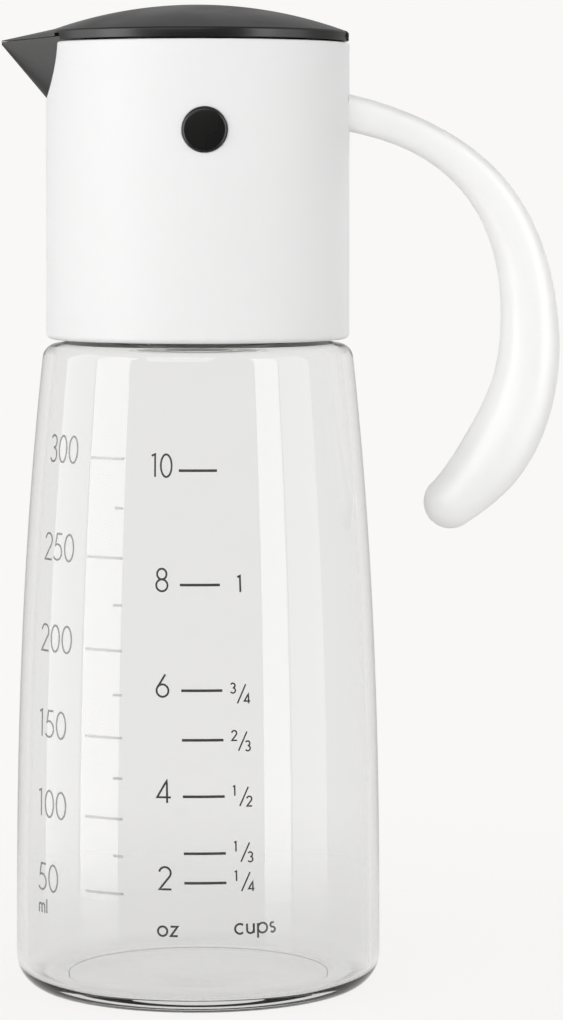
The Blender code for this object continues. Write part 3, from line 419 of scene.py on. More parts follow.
@dataclass(frozen=True)
class Finish:
    """A procedural material: colour, sheen and the fine texture of the surface."""

    name: str
    color: Triple
    roughness: float
    color_spread: float = 0.03
    roughness_spread: float = 0.04
    cloud_scale: float = 60.0
    grain: Grain = Grain.EVEN
    grain_scale: float = 4000.0
    grain_depth: float = 0.004
    metallic: float = 0.0
    transmission: float = 0.0
    ior: float = 1.5
    specular: float = 0.5
    subsurface: float = 0.0
    subsurface_depth: float = 2.0
    murk: float = 0.0
    murk_tone: float = 0.95
    cloud_edges: Pair = (0.3, 0.7)

    def material(self) -> bpy.types.Material:
        """The material, made once and then shared.

        Returns:
            The Blender material of this finish.
        """
        title = f"{self.name}_finish"
        known = bpy.data.materials.get(title)
        if known:
            return known
        material = bpy.data.materials.new(title)
        material.use_nodes = True
        tree = material.node_tree
        shader = tree.nodes["Principled BSDF"]
        values = {
            "Metallic": self.metallic,
            "Transmission Weight": self.transmission,
            "IOR": self.ior,
            "Specular IOR Level": self.specular,
            "Subsurface Weight": self.subsurface,
            "Subsurface Scale": self.subsurface_depth * MM,
            "Base Color": (*self.color, 1),
            "Roughness": self.roughness,
        }
        for socket, value in values.items():
            shader.inputs[socket].default_value = value
        place = wire(tree, "TexCoord").outputs["Object"]
        if self.transmission < 1:
            clouds = self.noise(tree, place, self.cloud_scale, 3)
            self.tint(tree, clouds, shader.inputs["Base Color"])
            self.gloss(tree, clouds, shader.inputs["Roughness"])
        self.relief(tree, place, shader.inputs["Normal"])
        if self.murk:
            tone = (self.murk_tone, self.murk_tone, self.murk_tone, 1)
            depth = wire(tree, "VolumeAbsorption", {"Color": tone, "Density": self.murk})
            tree.links.new(depth.outputs["Volume"], tree.nodes["Material Output"].inputs["Volume"])
        return material

    def noise(self, tree: Tree, place: Socket, scale: float, detail: float) -> Socket:
        """Noise along the run of the grain, from 0 to 1.

        Args:
            tree: The node tree.
            place: Coordinates on the object.
            scale: Fineness of the noise.
            detail: Number of finer layers in it.

        Returns:
            The noise.
        """
        run = wire(tree, "Mapping", {"Vector": place, "Scale": self.grain.value}).outputs["Vector"]
        return wire(tree, "TexNoise", {"Vector": run, "Scale": scale, "Detail": detail}).outputs["Fac"]

    def tint(self, tree: Tree, clouds: Socket, target: Socket) -> None:
        """Let the colour wander a little about its own value.

        Args:
            tree: The node tree.
            clouds: The noise that it follows.
            target: The shader's colour.
        """
        ramp = wire(tree, "ValToRGB", {"Fac": clouds})
        shares = (1 - self.color_spread, 1 + self.color_spread)
        for element, edge, share in zip(ramp.color_ramp.elements, self.cloud_edges, shares):
            element.position = edge
            element.color = (*[min(c * share, 1) for c in self.color], 1)
        tree.links.new(ramp.outputs["Color"], target)

    def gloss(self, tree: Tree, clouds: Socket, target: Socket) -> None:
        """Let the roughness wander about its own value.

        Args:
            tree: The node tree.
            clouds: The noise that it follows.
            target: The shader's roughness.
        """
        low, high = self.cloud_edges
        ranges = {
            "Value": clouds,
            "From Min": low,
            "From Max": high,
            "To Min": max(self.roughness - self.roughness_spread, 0),
            "To Max": self.roughness + self.roughness_spread,
        }
        tree.links.new(wire(tree, "MapRange", ranges).outputs["Result"], target)

    def relief(self, tree: Tree, place: Socket, target: Socket) -> None:
        """Raise the fine grain of the surface.

        Args:
            tree: The node tree.
            place: Coordinates on the object.
            target: The shader's normal.
        """
        grain = self.noise(tree, place, self.grain_scale, 2)
        bump = wire(tree, "Bump", {"Strength": 1, "Distance": self.grain_depth * MM, "Height": grain})
        tree.links.new(bump.outputs["Normal"], target)


GLASS = Finish(
    "clear_glass", (0.93, 0.932, 0.932), 0.0, transmission=1, ior=1.3,
    grain=Grain.UPRIGHT, grain_scale=28, grain_depth=0.002, murk=80.0,
)
WHITE_GLOSS = Finish(
    "white_gloss_plastic", (0.84, 0.842, 0.845), 0.52, 0.006, 0.03, 40,
    grain_scale=900, grain_depth=0.0012, specular=0.12,
)
WHITE_SATIN = Finish(
    "white_satin_plastic", (0.84, 0.84, 0.83), 0.42, 0.008, 0.04, 50,
    grain_scale=1500, grain_depth=0.002,
)
# The same white plastic as the sleeve, made whiter: painted light, so that the grip renders brighter than the
# lamps alone make it.
HANDLE_WHITE_PAINTED_LIGHT = Finish(
    "white_handle_plastic_painted_light", (0.935, 0.935, 0.932), 0.42, 0.006, 0.04, 45,
    grain_scale=1200, grain_depth=0.0015,
)
CHARCOAL = Finish(
    "charcoal_plastic", (0.0105, 0.0103, 0.01), 0.33, 0.06, 0.05, 90,
    grain_scale=2600, grain_depth=0.003, specular=0.28,
)
BLACK = Finish(
    "black_plastic", (0.007, 0.0069, 0.0067), 0.26, 0.1, 0.05, 90,
    grain_scale=2200, grain_depth=0.0015, specular=0.25,
)
BEAK_BLACK = Finish(
    "beak_plastic", (0.016, 0.0157, 0.0152), 0.42, 0.05, 0.05, 80,
    grain_scale=2200, grain_depth=0.002, specular=0.26,
)
STEEL = Finish(
    "turned_steel", (0.62, 0.62, 0.61), 0.28, 0.05, 0.08, 300,
    Grain.TURNED_ABOUT_Y, 1500, 0.002, metallic=1,
)
SILICONE = Finish(
    "silicone", (0.78, 0.78, 0.76), 0.5, 0.02, 0.06, 80,
    grain_scale=1500, grain_depth=0.003, subsurface=0.3,
)
INK = Finish(
    "scale_ink", (0.05, 0.05, 0.051), 0.25, 0.08, 0.05, 900,
    grain_scale=3000, grain_depth=0.001,
)
# Pale ink for the millilitre marks: a painted reflection, standing in for the left strip's reflection that
# washes the printed marks out.
INK_PALED_BY_PAINTED_REFLECTION = Finish(
    "scale_ink_painted_reflection", (0.4, 0.4, 0.402), 0.25, 0.05, 0.05, 900,
    grain_scale=3000, grain_depth=0.001,
)
# Lighter ink for the millilitre figures: print, paled with a painted reflection of the left strip.
INK_SIDE_PAINTED_REFLECTION = Finish(
    "scale_ink_side_painted_reflection", (0.19, 0.19, 0.192), 0.25, 0.08, 0.05, 900,
    grain_scale=3000, grain_depth=0.001,
)


class Assembly:
    """Pieces that ride on one body of the part."""

    body: str = ""

    def adopt(self, piece: Solid, finish: Finish, slot: str, *nodes: str) -> None:
        """Dress a new piece and tie it to the frame.

        Args:
            piece: The finished object.
            finish: Its finish.
            slot: The record's material slot; not used.
            *nodes: The CAD nodes that it stands for.
        """
        piece.data.materials.clear()
        piece.data.materials.append(finish.material())
        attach(piece, self.body)
        if nodes:
            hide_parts(*nodes)
        faces = len(piece.data.polygons)
        LOG.info("%s: %d faces, stands for %s", piece.name, faces, ", ".join(nodes) or "itself")

    @staticmethod
    def dress(finish: Finish, *nodes: str) -> None:
        """Give CAD nodes their finish.

        Args:
            finish: The finish.
            *nodes: Names of the nodes.
        """
        for node in nodes:
            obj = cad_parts[node]
            obj.data.materials.clear()
            obj.data.materials.append(finish.material())
            LOG.info("%s: the packed solid in %s", node, finish.name)


@dataclass
class GlassBottle(Assembly):
    """Clear flared bottle with a thick foot and a threaded neck."""

    body: str = "bottle"
    base_radius: float = 35.2
    shoulder_radius: float = 30.05
    side_curve: float = 2.4
    height: float = 124.6
    heel: float = 6.6
    shoulder_corner: float = 3.0
    shoulder_rise: float = 1.6
    ceiling_wall: float = 0.9
    ceiling_rounding: float = 2.1
    wall: float = 2.2
    base_thickness: float = 3.1
    floor_corner: float = 2.7
    floor_crown: tuple[Pair, ...] = ((0.0, 0.6), (12.0, 0.36))
    foot_ring: float = 25.4
    push_up: float = 0.4
    push_up_middle: float = 0.56
    neck_radius: float = 20.5
    neck_wall: float = 2.7
    neck_height: float = 16.0
    lip: float = 0.8
    thread_pitch: float = 4.5
    thread_turns: float = 1.5
    thread_ridge: float = 1.2
    thread_start: float = 5.5

    def radius_at(self, height: float) -> float:
        """Outer radius of the side at a height."""
        rise = max(height - self.heel, 0) / (self.height - self.heel - self.shoulder_corner)
        return self.base_radius - (self.base_radius - self.shoulder_radius) * rise**self.side_curve

    def outside(self) -> list[Pair]:
        """Outer profile.

        Returns:
            Its points, from the lip down to the middle of the foot.
        """
        lip = self.lip
        top = self.height + self.neck_height
        root = self.height + self.shoulder_rise
        profile = arc((self.neck_radius - lip, top - lip), lip, 90, 0, 5)
        profile += arc((self.neck_radius + lip, root + lip), lip, 180, 270, 4)
        side_top = self.height - self.shoulder_corner
        shoulder = self.radius_at(side_top)
        profile += arc((shoulder - self.shoulder_corner, side_top), self.shoulder_corner, 90, 0, 10)
        steps = 26
        for i in range(1, steps):
            height = side_top - (side_top - self.heel) * i / steps
            profile.append((self.radius_at(height), height))
        profile += arc((self.base_radius - self.heel, self.heel), self.heel, 0, -90, 14)
        profile += arc((self.foot_ring, self.push_up), self.push_up, -90, -150, 4)
        profile.append((0.0, self.push_up_middle))
        return profile

    def inside(self) -> list[Pair]:
        """Inner profile.

        Returns:
            Its points, from the middle of the floor up to the lip.
        """
        lip = self.lip
        corner = self.floor_corner
        start = self.base_thickness + corner
        floor_radius = self.radius_at(start) - self.wall
        profile = [(radius, self.base_thickness + rise) for radius, rise in self.floor_crown]
        profile += arc((floor_radius - corner, start), corner, -90, 0, 12)
        ceiling = self.height - self.ceiling_wall
        rounding = self.ceiling_rounding
        top = ceiling - rounding
        steps = 22
        for i in range(1, steps):
            height = start + (top - start) * i / steps
            profile.append((self.radius_at(height) - self.wall, height))
        profile += arc((self.radius_at(top) - self.wall - rounding, top), rounding, 0, 90, 10)
        bore = self.neck_radius - self.neck_wall
        root = ceiling + self.shoulder_rise
        profile += arc((bore + lip, root + lip), lip, 270, 180, 4)
        profile += arc((bore + lip, self.height + self.neck_height - lip), lip, 180, 90, 4)
        return profile

    def thread(self) -> Solid:
        """The screw ridge of the neck.

        Returns:
            A diamond section turned up the neck, with tapering ends.
        """
        size = self.thread_ridge
        height = self.height + self.thread_start
        corners = ((1, 0), (0, 1), (-1, 0), (0, -1))
        diamond = [(self.neck_radius + out * size, 0, height + up * size) for out, up in corners]
        return Bench.coil("neck_thread", diamond, self.thread_turns, self.thread_pitch, steps=72)

    def build(self) -> None:
        """Model the bottle and dress it."""
        bottle = Bench.lathe("bottle_glass", self.inside() + self.outside(), steps=160)
        Bench.combine(bottle, Shape.FUSE, self.thread())
        Bench.smooth(bottle, 38)
        self.adopt(bottle, GLASS, "clear_glass", "glass_bottle")


@dataclass
class Letterer:
    """Thin single-line figures and letters; a figure is one unit tall."""

    small: float = 0.64
    space: float = 0.12

    def strokes(self, sign: str) -> tuple[float, list[list[Pair]]]:
        """The strokes of a sign.

        Args:
            sign: One of the signs that the scale needs.

        Returns:
            The width that it takes and its strokes as lists of points.
        """
        x = self.small
        bowl = x / 2
        cup = [(0.06, x), (0.06, 0.25)] + arc((0.29, 0.24), 0.23, 180, 360, 10) + [(0.52, x)]
        table: dict[str, tuple[float, list[list[Pair]]]] = {
            "0": (0.6, [self.oval((0.3, 0.5), 0.27, 0.5)]),
            "1": (0.34, [[(0.02, 0.93), (0.2, 1.0), (0.2, 0.0)]]),
            "2": (0.58, [arc((0.28, 0.73), 0.26, 170, -38, 12) + [(0.02, 0.0), (0.56, 0.0)]]),
            "3": (0.56, [arc((0.25, 0.76), 0.235, 150, -90, 12), arc((0.25, 0.265), 0.265, 90, -150, 12)]),
            "4": (0.66, [[(0.47, 0.0), (0.47, 1.0), (0.02, 0.25), (0.64, 0.25)]]),
            "5": (0.58, [[(0.52, 1.0), (0.2, 1.0), (0.1, 0.56)] + arc((0.24, 0.31), 0.3, 108, -142, 12)]),
            "6": (0.6, [arc((0.29, 0.28), 0.275, 150, 510, 20), [(0.045, 0.4), (0.43, 1.0)]]),
            "8": (0.6, [self.oval((0.3, 0.76), 0.225, 0.235), self.oval((0.3, 0.265), 0.27, 0.262)]),
            "m": (0.86, [[(0.06, 0.0), (0.06, x)], self.arch(0.06, 0.43), self.arch(0.43, 0.8)]),
            "l": (0.18, [[(0.09, 0.0), (0.09, 1.0)]]),
            "o": (0.74, [self.oval((0.37, bowl), bowl, bowl)]),
            "z": (0.6, [[(0.06, x), (0.54, x), (0.06, 0.0), (0.54, 0.0)]]),
            "c": (0.66, [arc((0.36, bowl), bowl, 48, 312, 14)]),
            "u": (0.62, [cup, [(0.52, x), (0.52, 0.0)]]),
            "p": (0.74, [[(0.06, x), (0.06, -0.32)], self.oval((0.38, bowl), bowl, bowl)]),
            "s": (0.48, [arc((0.22, 0.48), 0.15, 50, 250, 8) + arc((0.22, 0.17), 0.17, 80, -140, 8)]),
        }
        return table[sign]

    @staticmethod
    def oval(centre: Pair, half_width: float, half_height: float) -> list[Pair]:
        """A closed oval stroke."""
        turned = arc((0, 0), 1, 90, 450, 24)
        return [(centre[0] + half_width * x, centre[1] + half_height * y) for x, y in turned]

    def arch(self, start: float, end: float) -> list[Pair]:
        """An arch that springs from one stem and comes down as the next.

        Args:
            start: Place of the first stem.
            end: Place of the next stem.

        Returns:
            The points of the stroke.
        """
        radius = (end - start) / 2
        spring = self.small - radius
        return [(start, spring)] + arc((start + radius, spring), radius, 180, 0, 8) + [(end, 0.0)]


@dataclass
class VolumeScale(Assembly):
    """Volume scale printed on the glass: figures and marks in three columns.

    Angles are in degrees from the front towards the handle. The place of a word holds the angle of its
    left end, the height of its foot and its size, and the fields on fractions are shares of their size.
    """

    glass: GlassBottle
    body: str = "bottle"
    stroke: float = 0.39
    mark_stroke: float = 0.5
    film: float = 0.03
    lift: float = 0.015
    pitch: float = 0.8
    letterer: Letterer = field(default_factory=Letterer)
    left_figure_angle: float = -63.0
    left_figure_size: float = 5.0
    left_figure_drop: float = 1.25
    left_mark_angle: float = -27.0
    major_span: float = 13.5
    minor_span: float = 3.2
    centre_figure_angle: float = -13.6
    centre_figure_size: float = 4.2
    centre_mark_angle: float = -7.8
    centre_mark_end: float = 5.0
    figure_drop: float = 1.2
    cup_angle: float = 7.55
    cup_indent: float = 3.05
    cup_size: float = 3.0
    fraction_size: float = 3.05
    fraction_drop: float = 1.6
    fraction_stroke: float = 0.75
    part_share: float = 0.6
    upper_foot: float = 0.62
    lower_foot: float = -0.04
    lower_start: float = 0.86
    slant: tuple[Pair, Pair] = ((0.42, -0.02), (0.98, 1.14))
    lean: float = -0.029
    lean_height: float = 62.0
    millilitre_word: Triple = (-63.0, 17.3, 2.7)
    ounce_word: Triple = (-16.35, 15.5, 2.75)
    cup_word: Triple = (7.2, 15.8, 2.87)
    millilitres: tuple[tuple[int, float], ...] = (
        (300, 104.0), (275, 94.8), (250, 85.5), (225, 76.7), (200, 68.25), (175, 60.0),
        (150, 52.0), (125, 44.45), (100, 36.9), (75, 29.95), (50, 22.9),
    )
    ounces: tuple[tuple[int, float], ...] = ((10, 102.0), (8, 80.8), (6, 61.2), (4, 41.5), (2, 25.4))
    extra_marks: Pair = (52.0, 30.9)
    cups: tuple[tuple[str, float], ...] = (
        ("1", 80.6), ("3/4", 60.4), ("2/3", 51.6), ("1/2", 41.3), ("1/3", 30.9), ("1/4", 25.4),
    )

    def place(self, along: float, height: float, lift: float) -> Triple:
        """A point on the glass; the whole print leans a little, as printed.

        Args:
            along: Angle from the front towards the handle, in degrees.
            height: Height above the foot.
            lift: Distance outside the glass.

        Returns:
            The point.
        """
        reach = self.glass.radius_at(height) + lift
        angle = math.radians(along + self.lean * (height - self.lean_height))
        return (reach * math.sin(angle), -reach * math.cos(angle), height)

    def unroll(self, angle: float) -> float:
        """Way along the unrolled glass to an angle."""
        return math.radians(angle) * self.glass.base_radius

    @staticmethod
    def ribbon(line: Sequence[Pair], width: float) -> tuple[list[Pair], list[Pair]]:
        """The two sides of a stroke of constant width.

        Args:
            line: Points on the unrolled glass, in millimetres.
            width: Width of the stroke.

        Returns:
            Its left side and its right side.
        """
        closed = math.dist(line[0], line[-1]) < 1e-6
        left, right = [], []
        count = len(line)
        for i, (u, v) in enumerate(line):
            before = line[i - 1] if i > 0 else (line[-2] if closed else line[0])
            after = line[i + 1] if i < count - 1 else (line[1] if closed else line[-1])
            into = Vector((u - before[0], v - before[1]))
            out = Vector((after[0] - u, after[1] - v))
            if into.length < 1e-9:
                into = out
            if out.length < 1e-9:
                out = into
            into.normalize()
            out.normalize()
            along = (into + out).normalized()
            side = Vector((-along.y, along.x)) * (width / 2 / max(along.dot(into), 0.5))
            left.append((u + side.x, v + side.y))
            right.append((u - side.x, v - side.y))
        return left, right

    def divide(self, line: Sequence[Pair]) -> list[Pair]:
        """Add points to a stroke, so that it follows the round glass.

        Args:
            line: The points of the stroke.

        Returns:
            The points with no gap wider than the pitch.
        """
        fine = [line[0]]
        for a, b in zip(line, line[1:]):
            parts = max(1, math.ceil(math.dist(a, b) / self.pitch))
            for i in range(1, parts + 1):
                fine.append((a[0] + (b[0] - a[0]) * i / parts, a[1] + (b[1] - a[1]) * i / parts))
        return fine

    def print_strokes(self, name: str, lines: Strokes, finish: Finish) -> None:
        """Lay strokes on the glass as thin closed films.

        Args:
            name: Name of the print.
            lines: Strokes as (angle * radius, height) points in millimetres with their widths.
            finish: The ink.
        """
        verts: list[Vector] = []
        faces: list[tuple[int, ...]] = []
        mean = self.glass.base_radius
        for line, width in lines:
            fine = self.divide(line)
            left, right = self.ribbon(fine, width)
            first = len(verts)
            for pair in zip(left, right):
                for lift in (self.lift + self.film, self.lift):
                    for u, v in pair:
                        verts.append(Vector(self.place(math.degrees(u / mean), v, lift)) * MM)
            for i in range(len(fine) - 1):
                a, b = first + 4 * i, first + 4 * (i + 1)
                faces += [(a, b, b + 1, a + 1), (a + 2, a + 3, b + 3, b + 2)]
                faces += [(a, a + 2, b + 2, b), (a + 1, b + 1, b + 3, a + 3)]
            last = first + 4 * (len(fine) - 1)
            faces += [(first, first + 1, first + 3, first + 2), (last, last + 2, last + 3, last + 1)]
        mesh = bpy.data.meshes.new(name)
        mesh.from_pydata(verts, [], faces)
        piece = bpy.data.objects.new(name, mesh)
        bpy.context.scene.collection.objects.link(piece)
        Bench.select_only(piece)
        bpy.ops.object.mode_set(mode="EDIT")
        bpy.ops.mesh.select_all(action="SELECT")
        bpy.ops.mesh.normals_make_consistent(inside=False)
        bpy.ops.object.mode_set(mode="OBJECT")
        self.adopt(piece, finish, "black_plastic")

    def write(self, text: str, start: float, foot: float, size: float) -> Strokes:
        """The strokes of a word.

        Args:
            text: The word or figures.
            start: Angle of its left end.
            foot: Height of its foot.
            size: Height of a figure.

        Returns:
            Its strokes on the unrolled glass with their widths.
        """
        lines = []
        u = self.unroll(start)
        for sign in text:
            width, strokes = self.letterer.strokes(sign)
            for stroke in strokes:
                lines.append(([(u + size * x, foot + size * y) for x, y in stroke], self.stroke))
            u += size * (width + self.letterer.space)
        return lines

    def width_of(self, text: str, size: float) -> float:
        """Width of a word in millimetres."""
        space = self.letterer.space
        return size * (sum(self.letterer.strokes(sign)[0] + space for sign in text) - space)

    def fraction(self, text: str, start: float, foot: float) -> Strokes:
        """The strokes of a fraction, such as 3/4, with a slanted bar.

        Args:
            text: The fraction.
            start: Angle of its left end.
            foot: Height of its foot.

        Returns:
            Its strokes on the unrolled glass with their widths.
        """
        above, below = text.split("/")
        size = self.fraction_size
        part = size * self.part_share
        left = self.unroll(start)
        lines = self.write(above, start, foot + size * self.upper_foot, part)
        lines.append(([(left + size * x, foot + size * y) for x, y in self.slant], self.stroke))
        second = start + math.degrees(size * self.lower_start / self.glass.base_radius)
        lines += self.write(below, second, foot + size * self.lower_foot, part)
        return [(line, self.stroke * self.fraction_stroke) for line, _ in lines]

    def mark(self, start: float, end: float, height: float) -> tuple[list[Pair], float]:
        """A level mark between two angles."""
        return ([(self.unroll(start), height), (self.unroll(end), height)], self.mark_stroke)

    def left_column(self) -> tuple[Strokes, Strokes]:
        """The millilitres.

        Returns:
            The strokes of the figures and those of the marks.
        """
        figures: Strokes = []
        marks: Strokes = []
        for amount, height in self.millilitres:
            major = amount % 50 == 0
            span = self.major_span if major else self.minor_span
            marks.append(self.mark(self.left_mark_angle - span, self.left_mark_angle, height))
            if major:
                foot = height - self.left_figure_drop
                figures += self.write(str(amount), self.left_figure_angle, foot, self.left_figure_size)
        figures += self.write("ml", *self.millilitre_word)
        return figures, marks

    def front_columns(self) -> Strokes:
        """The ounces and the cups.

        Returns:
            The strokes of their figures, fractions, marks and words.
        """
        front: Strokes = []
        size = self.centre_figure_size
        for amount, height in self.ounces:
            half = math.degrees(self.width_of(str(amount), size) / 2 / self.glass.base_radius)
            front += self.write(str(amount), self.centre_figure_angle - half, height - self.figure_drop, size)
            front.append(self.mark(self.centre_mark_angle, self.centre_mark_end, height))
        for height in self.extra_marks:
            front.append(self.mark(self.centre_mark_angle, self.centre_mark_end, height))
        for text, height in self.cups:
            if "/" in text:
                front += self.fraction(text, self.cup_angle, height - self.fraction_drop)
            else:
                start = self.cup_angle + self.cup_indent
                front += self.write(text, start, height - self.figure_drop, self.cup_size)
        front += self.write("oz", *self.ounce_word)
        front += self.write("cups", *self.cup_word)
        return front

    def build(self) -> None:
        """Print the three columns."""
        figures, marks = self.left_column()
        # The left column's ink is paled: a painted reflection of the left strip over the print.
        self.print_strokes("millilitre_scale", figures, INK_SIDE_PAINTED_REFLECTION)
        self.print_strokes("millilitre_marks", marks, INK_PALED_BY_PAINTED_REFLECTION)
        self.print_strokes("ounce_and_cup_scale", self.front_columns(), INK)


@dataclass
class Beak:
    """Half-cone beak of the spout; the insert, the sleeve's notch and the lid's tongue share its form."""

    reach: float = 38.2
    tip_height: float = 182.6
    width_rate: float = 0.955
    depth_rate: float = 1.265
    rise_rate: float = 0.075
    blunt: float = 0.4
    seam: float = 0.05

    def solid(self, name: str, outward: float, lift: float, inner_end: float, raised: float = 0.0) -> Solid:
        """The half cone, grown outward and carried up.

        Args:
            name: Name of the new object.
            outward: Distance by which its skin lies outside the beak's own.
            lift: Height added on top of its edges; none leaves it flat.
            inner_end: Distance of its wide end from the bottle's axis.
            raised: Height by which all of it is raised.

        Returns:
            The new object.
        """
        apex = -self.reach - outward * math.hypot(1, self.width_rate) / self.width_rate
        u = -inner_end - apex
        tip = self.tip_height + raised
        top = tip + self.rise_rate * u
        wide, deep = self.width_rate * u, self.depth_rate * u
        outline = [(-inner_end, wide * y, top + deep * z) for y, z in arc((0, 0), 1, 0, -180, 40)]
        half = Bench.cone(name, outline, (apex, 0, tip), self.blunt / u)
        if lift:
            narrow = self.width_rate * self.blunt
            end, low = apex + self.blunt, tip + self.rise_rate * self.blunt - self.seam
            high = top - self.seam
            corners = [(-inner_end, -wide, high), (-inner_end, wide, high)]
            corners += [(end, narrow, low), (end, -narrow, low)]
            Bench.combine(half, Shape.FUSE, Bench.slab(f"{name}_above", corners, (0, 0, lift)))
        return half


@dataclass
class PouringHead(Assembly):
    """White sleeve, spout insert, handle and the end caps of the cross axle.

    A row of handle_sections holds a place along the handle, its thickness, width and squareness there.
    """

    beak: Beak
    body: str = "head"
    gap: float = 0.3
    radius: float = 29.3
    wall: float = 2.0
    bottom: float = 125.45
    top: float = 182.5
    rim_rounding: Pair = (0.35, 0.45)
    foot_rounding: float = 1.2
    ledge_inner: float = 24.2
    ledge: Pair = (144.8, 146.3)
    notch_lift: float = 6.0
    notch_root: float = 4.5
    cup_outer: float = 27.0
    cup_inner: float = 25.5
    cup_edge: float = 0.3
    cup_top: float = 182.0
    floor: Pair = (146.6, 148.2)
    headroom: float = 12.0
    bore_ends: Pair = (1.0, 5.0)
    pivot_height: float = 165.5
    axle_radius: float = 1.5
    axle_gap: float = 0.1
    stem_radius: float = 2.5
    stem_end: float = 25.2
    seat_gap: float = 0.08
    cap_radius: float = 4.3
    cap_back: float = 28.4
    cap_thickness: float = 1.5
    cap_rounding: float = 0.7
    cap_crown: tuple[Pair, ...] = ((0.0, 0.12), (2.0, 0.09))
    hinge_x: float = 27.8
    hinge_z: float = 183.8
    pin_radius: float = 0.6
    barrel_radius: float = 1.0
    barrel_half: float = 5.0
    knuckle: float = 2.2
    knuckle_radius: float = 0.85
    knuckle_end: float = 0.2
    arm_rise: float = 0.5
    post_root: float = 0.5
    duct_face: float = 17.0
    duct_wall: float = 1.2
    duct_foot: float = 8.0
    duct_knee: float = 160.2
    duct_top: float = 175.7
    beak_root: float = 3.0
    beak_wall: float = 1.1
    channel_lift: float = 4.5
    channel_root: float = 6.0
    hole_length: float = 5.0
    hole_half: float = 7.0
    hole_over: float = 0.8
    vent_x: float = 14.5
    vent_radius: float = 2.4
    vent_bore: float = 1.2
    vent_rise: float = 8.0
    screw_height: float = 168.3
    screw_side: float = 3.5
    screw_end: float = 36.4
    screw_hole_radius: float = 2.1
    screw_hole_start: float = 26.0
    pilot_radius: float = 1.4
    pilot_start: float = 27.0
    handle_height: float = 169.3
    handle_reach: float = 36.3
    handle_fall: float = 43.4
    handle_slope: float = 11.3
    start_pull: float = 0.69
    end_pull: float = 0.55
    curl_radius: float = 41.5
    curl: float = 51.2
    handle_sink: float = 0.05
    handle_seat_half: float = 40.0
    handle_end: float = 86.0
    handle_sections: tuple[tuple[float, float, float, float], ...] = (
        (0.00, 7.0, 13.0, 4.0),
        (0.18, 6.6, 12.6, 3.4),
        (0.45, 9.3, 12.6, 2.8),
        (0.70, 12.2, 13.4, 2.3),
        (0.87, 13.4, 13.8, 2.1),
        (1.00, 10.4, 12.0, 2.0),
    )

    def sleeve(self) -> None:
        """The white shell with the beak's notch, the cap seats and the screw holes."""
        inner = self.radius - self.wall
        low, high = self.ledge
        rim_in, rim_out = self.rim_rounding
        foot = self.foot_rounding
        profile = arc((inner + rim_in, self.top - rim_in), rim_in, 180, 90, 4)
        profile += arc((self.radius - rim_out, self.top - rim_out), rim_out, 90, 0, 5)
        profile += arc((self.radius - foot, self.bottom + foot), foot, 0, -90, 8)
        profile += [(inner, self.bottom), (inner, low)]
        profile += [(self.ledge_inner, low), (self.ledge_inner, high), (inner, high)]
        piece = Bench.lathe("white_sleeve", profile, steps=192, closed=True)
        root = self.cup_inner - self.notch_root
        Bench.combine(piece, Shape.CUT, self.beak.solid("beak_notch", self.gap, self.notch_lift, root))
        reach = self.radius + OVERCUT
        z = self.pivot_height
        for side in (-1, 1):
            end = (0, side * reach, z)
            floor = (0, side * (self.cap_back - self.gap), z)
            seat = Bench.bar("cap_seat", self.cap_radius + self.seat_gap, floor, end, sides=72)
            start = (0, side * self.stem_end, z)
            hole = Bench.bar("stem_hole", self.stem_radius + self.gap, start, end, sides=48)
            Bench.combine(piece, Shape.CUT, seat, hole)
        self.drill(piece, self.screw_hole_radius, self.screw_hole_start, reach)
        Bench.smooth(piece)
        self.adopt(piece, WHITE_GLOSS, "white_gloss_plastic", "head_sleeve")

    def drill(self, piece: Solid, radius: float, start: float, end: float) -> None:
        """Drill a piece for the two screws of the handle.

        Args:
            piece: The piece.
            radius: Radius of the holes.
            start: X of their inner ends.
            end: X of their outer ends.
        """
        for y in (-self.screw_side, self.screw_side):
            z = self.screw_height
            hole = Bench.bar("screw_hole", radius, (start, y, z), (end, y, z), sides=32)
            Bench.combine(piece, Shape.CUT, hole)

    def caps(self) -> None:
        """The two round caps over the ends of the axle, the same but for their side."""
        crown = self.cap_thickness - self.cap_rounding
        stem = self.stem_end - self.cap_back
        bore = self.axle_radius + self.axle_gap
        profile = [(radius, self.cap_thickness + rise) for radius, rise in self.cap_crown]
        profile += arc((self.cap_radius - self.cap_rounding, crown), self.cap_rounding, 90, 0, 8)
        profile += [(self.cap_radius, 0.0), (self.stem_radius, 0.0), (self.stem_radius, stem)]
        profile += [(bore, stem), (bore, 0.0), (0.0, 0.0)]
        for side, label in ((-1, "front"), (1, "back")):
            piece = Bench.lathe(f"axle_cap_{label}", profile, steps=72)
            piece.rotation_euler = (-side * math.pi / 2, 0, 0)
            piece.location = Vector((0, side * self.cap_back, self.pivot_height)) * MM
            Bench.select_only(piece)
            bpy.ops.object.transform_apply(location=True, rotation=True, scale=True)
            Bench.smooth(piece)
            self.adopt(piece, BLACK, "black_plastic", f"pivot_cap_{label}")

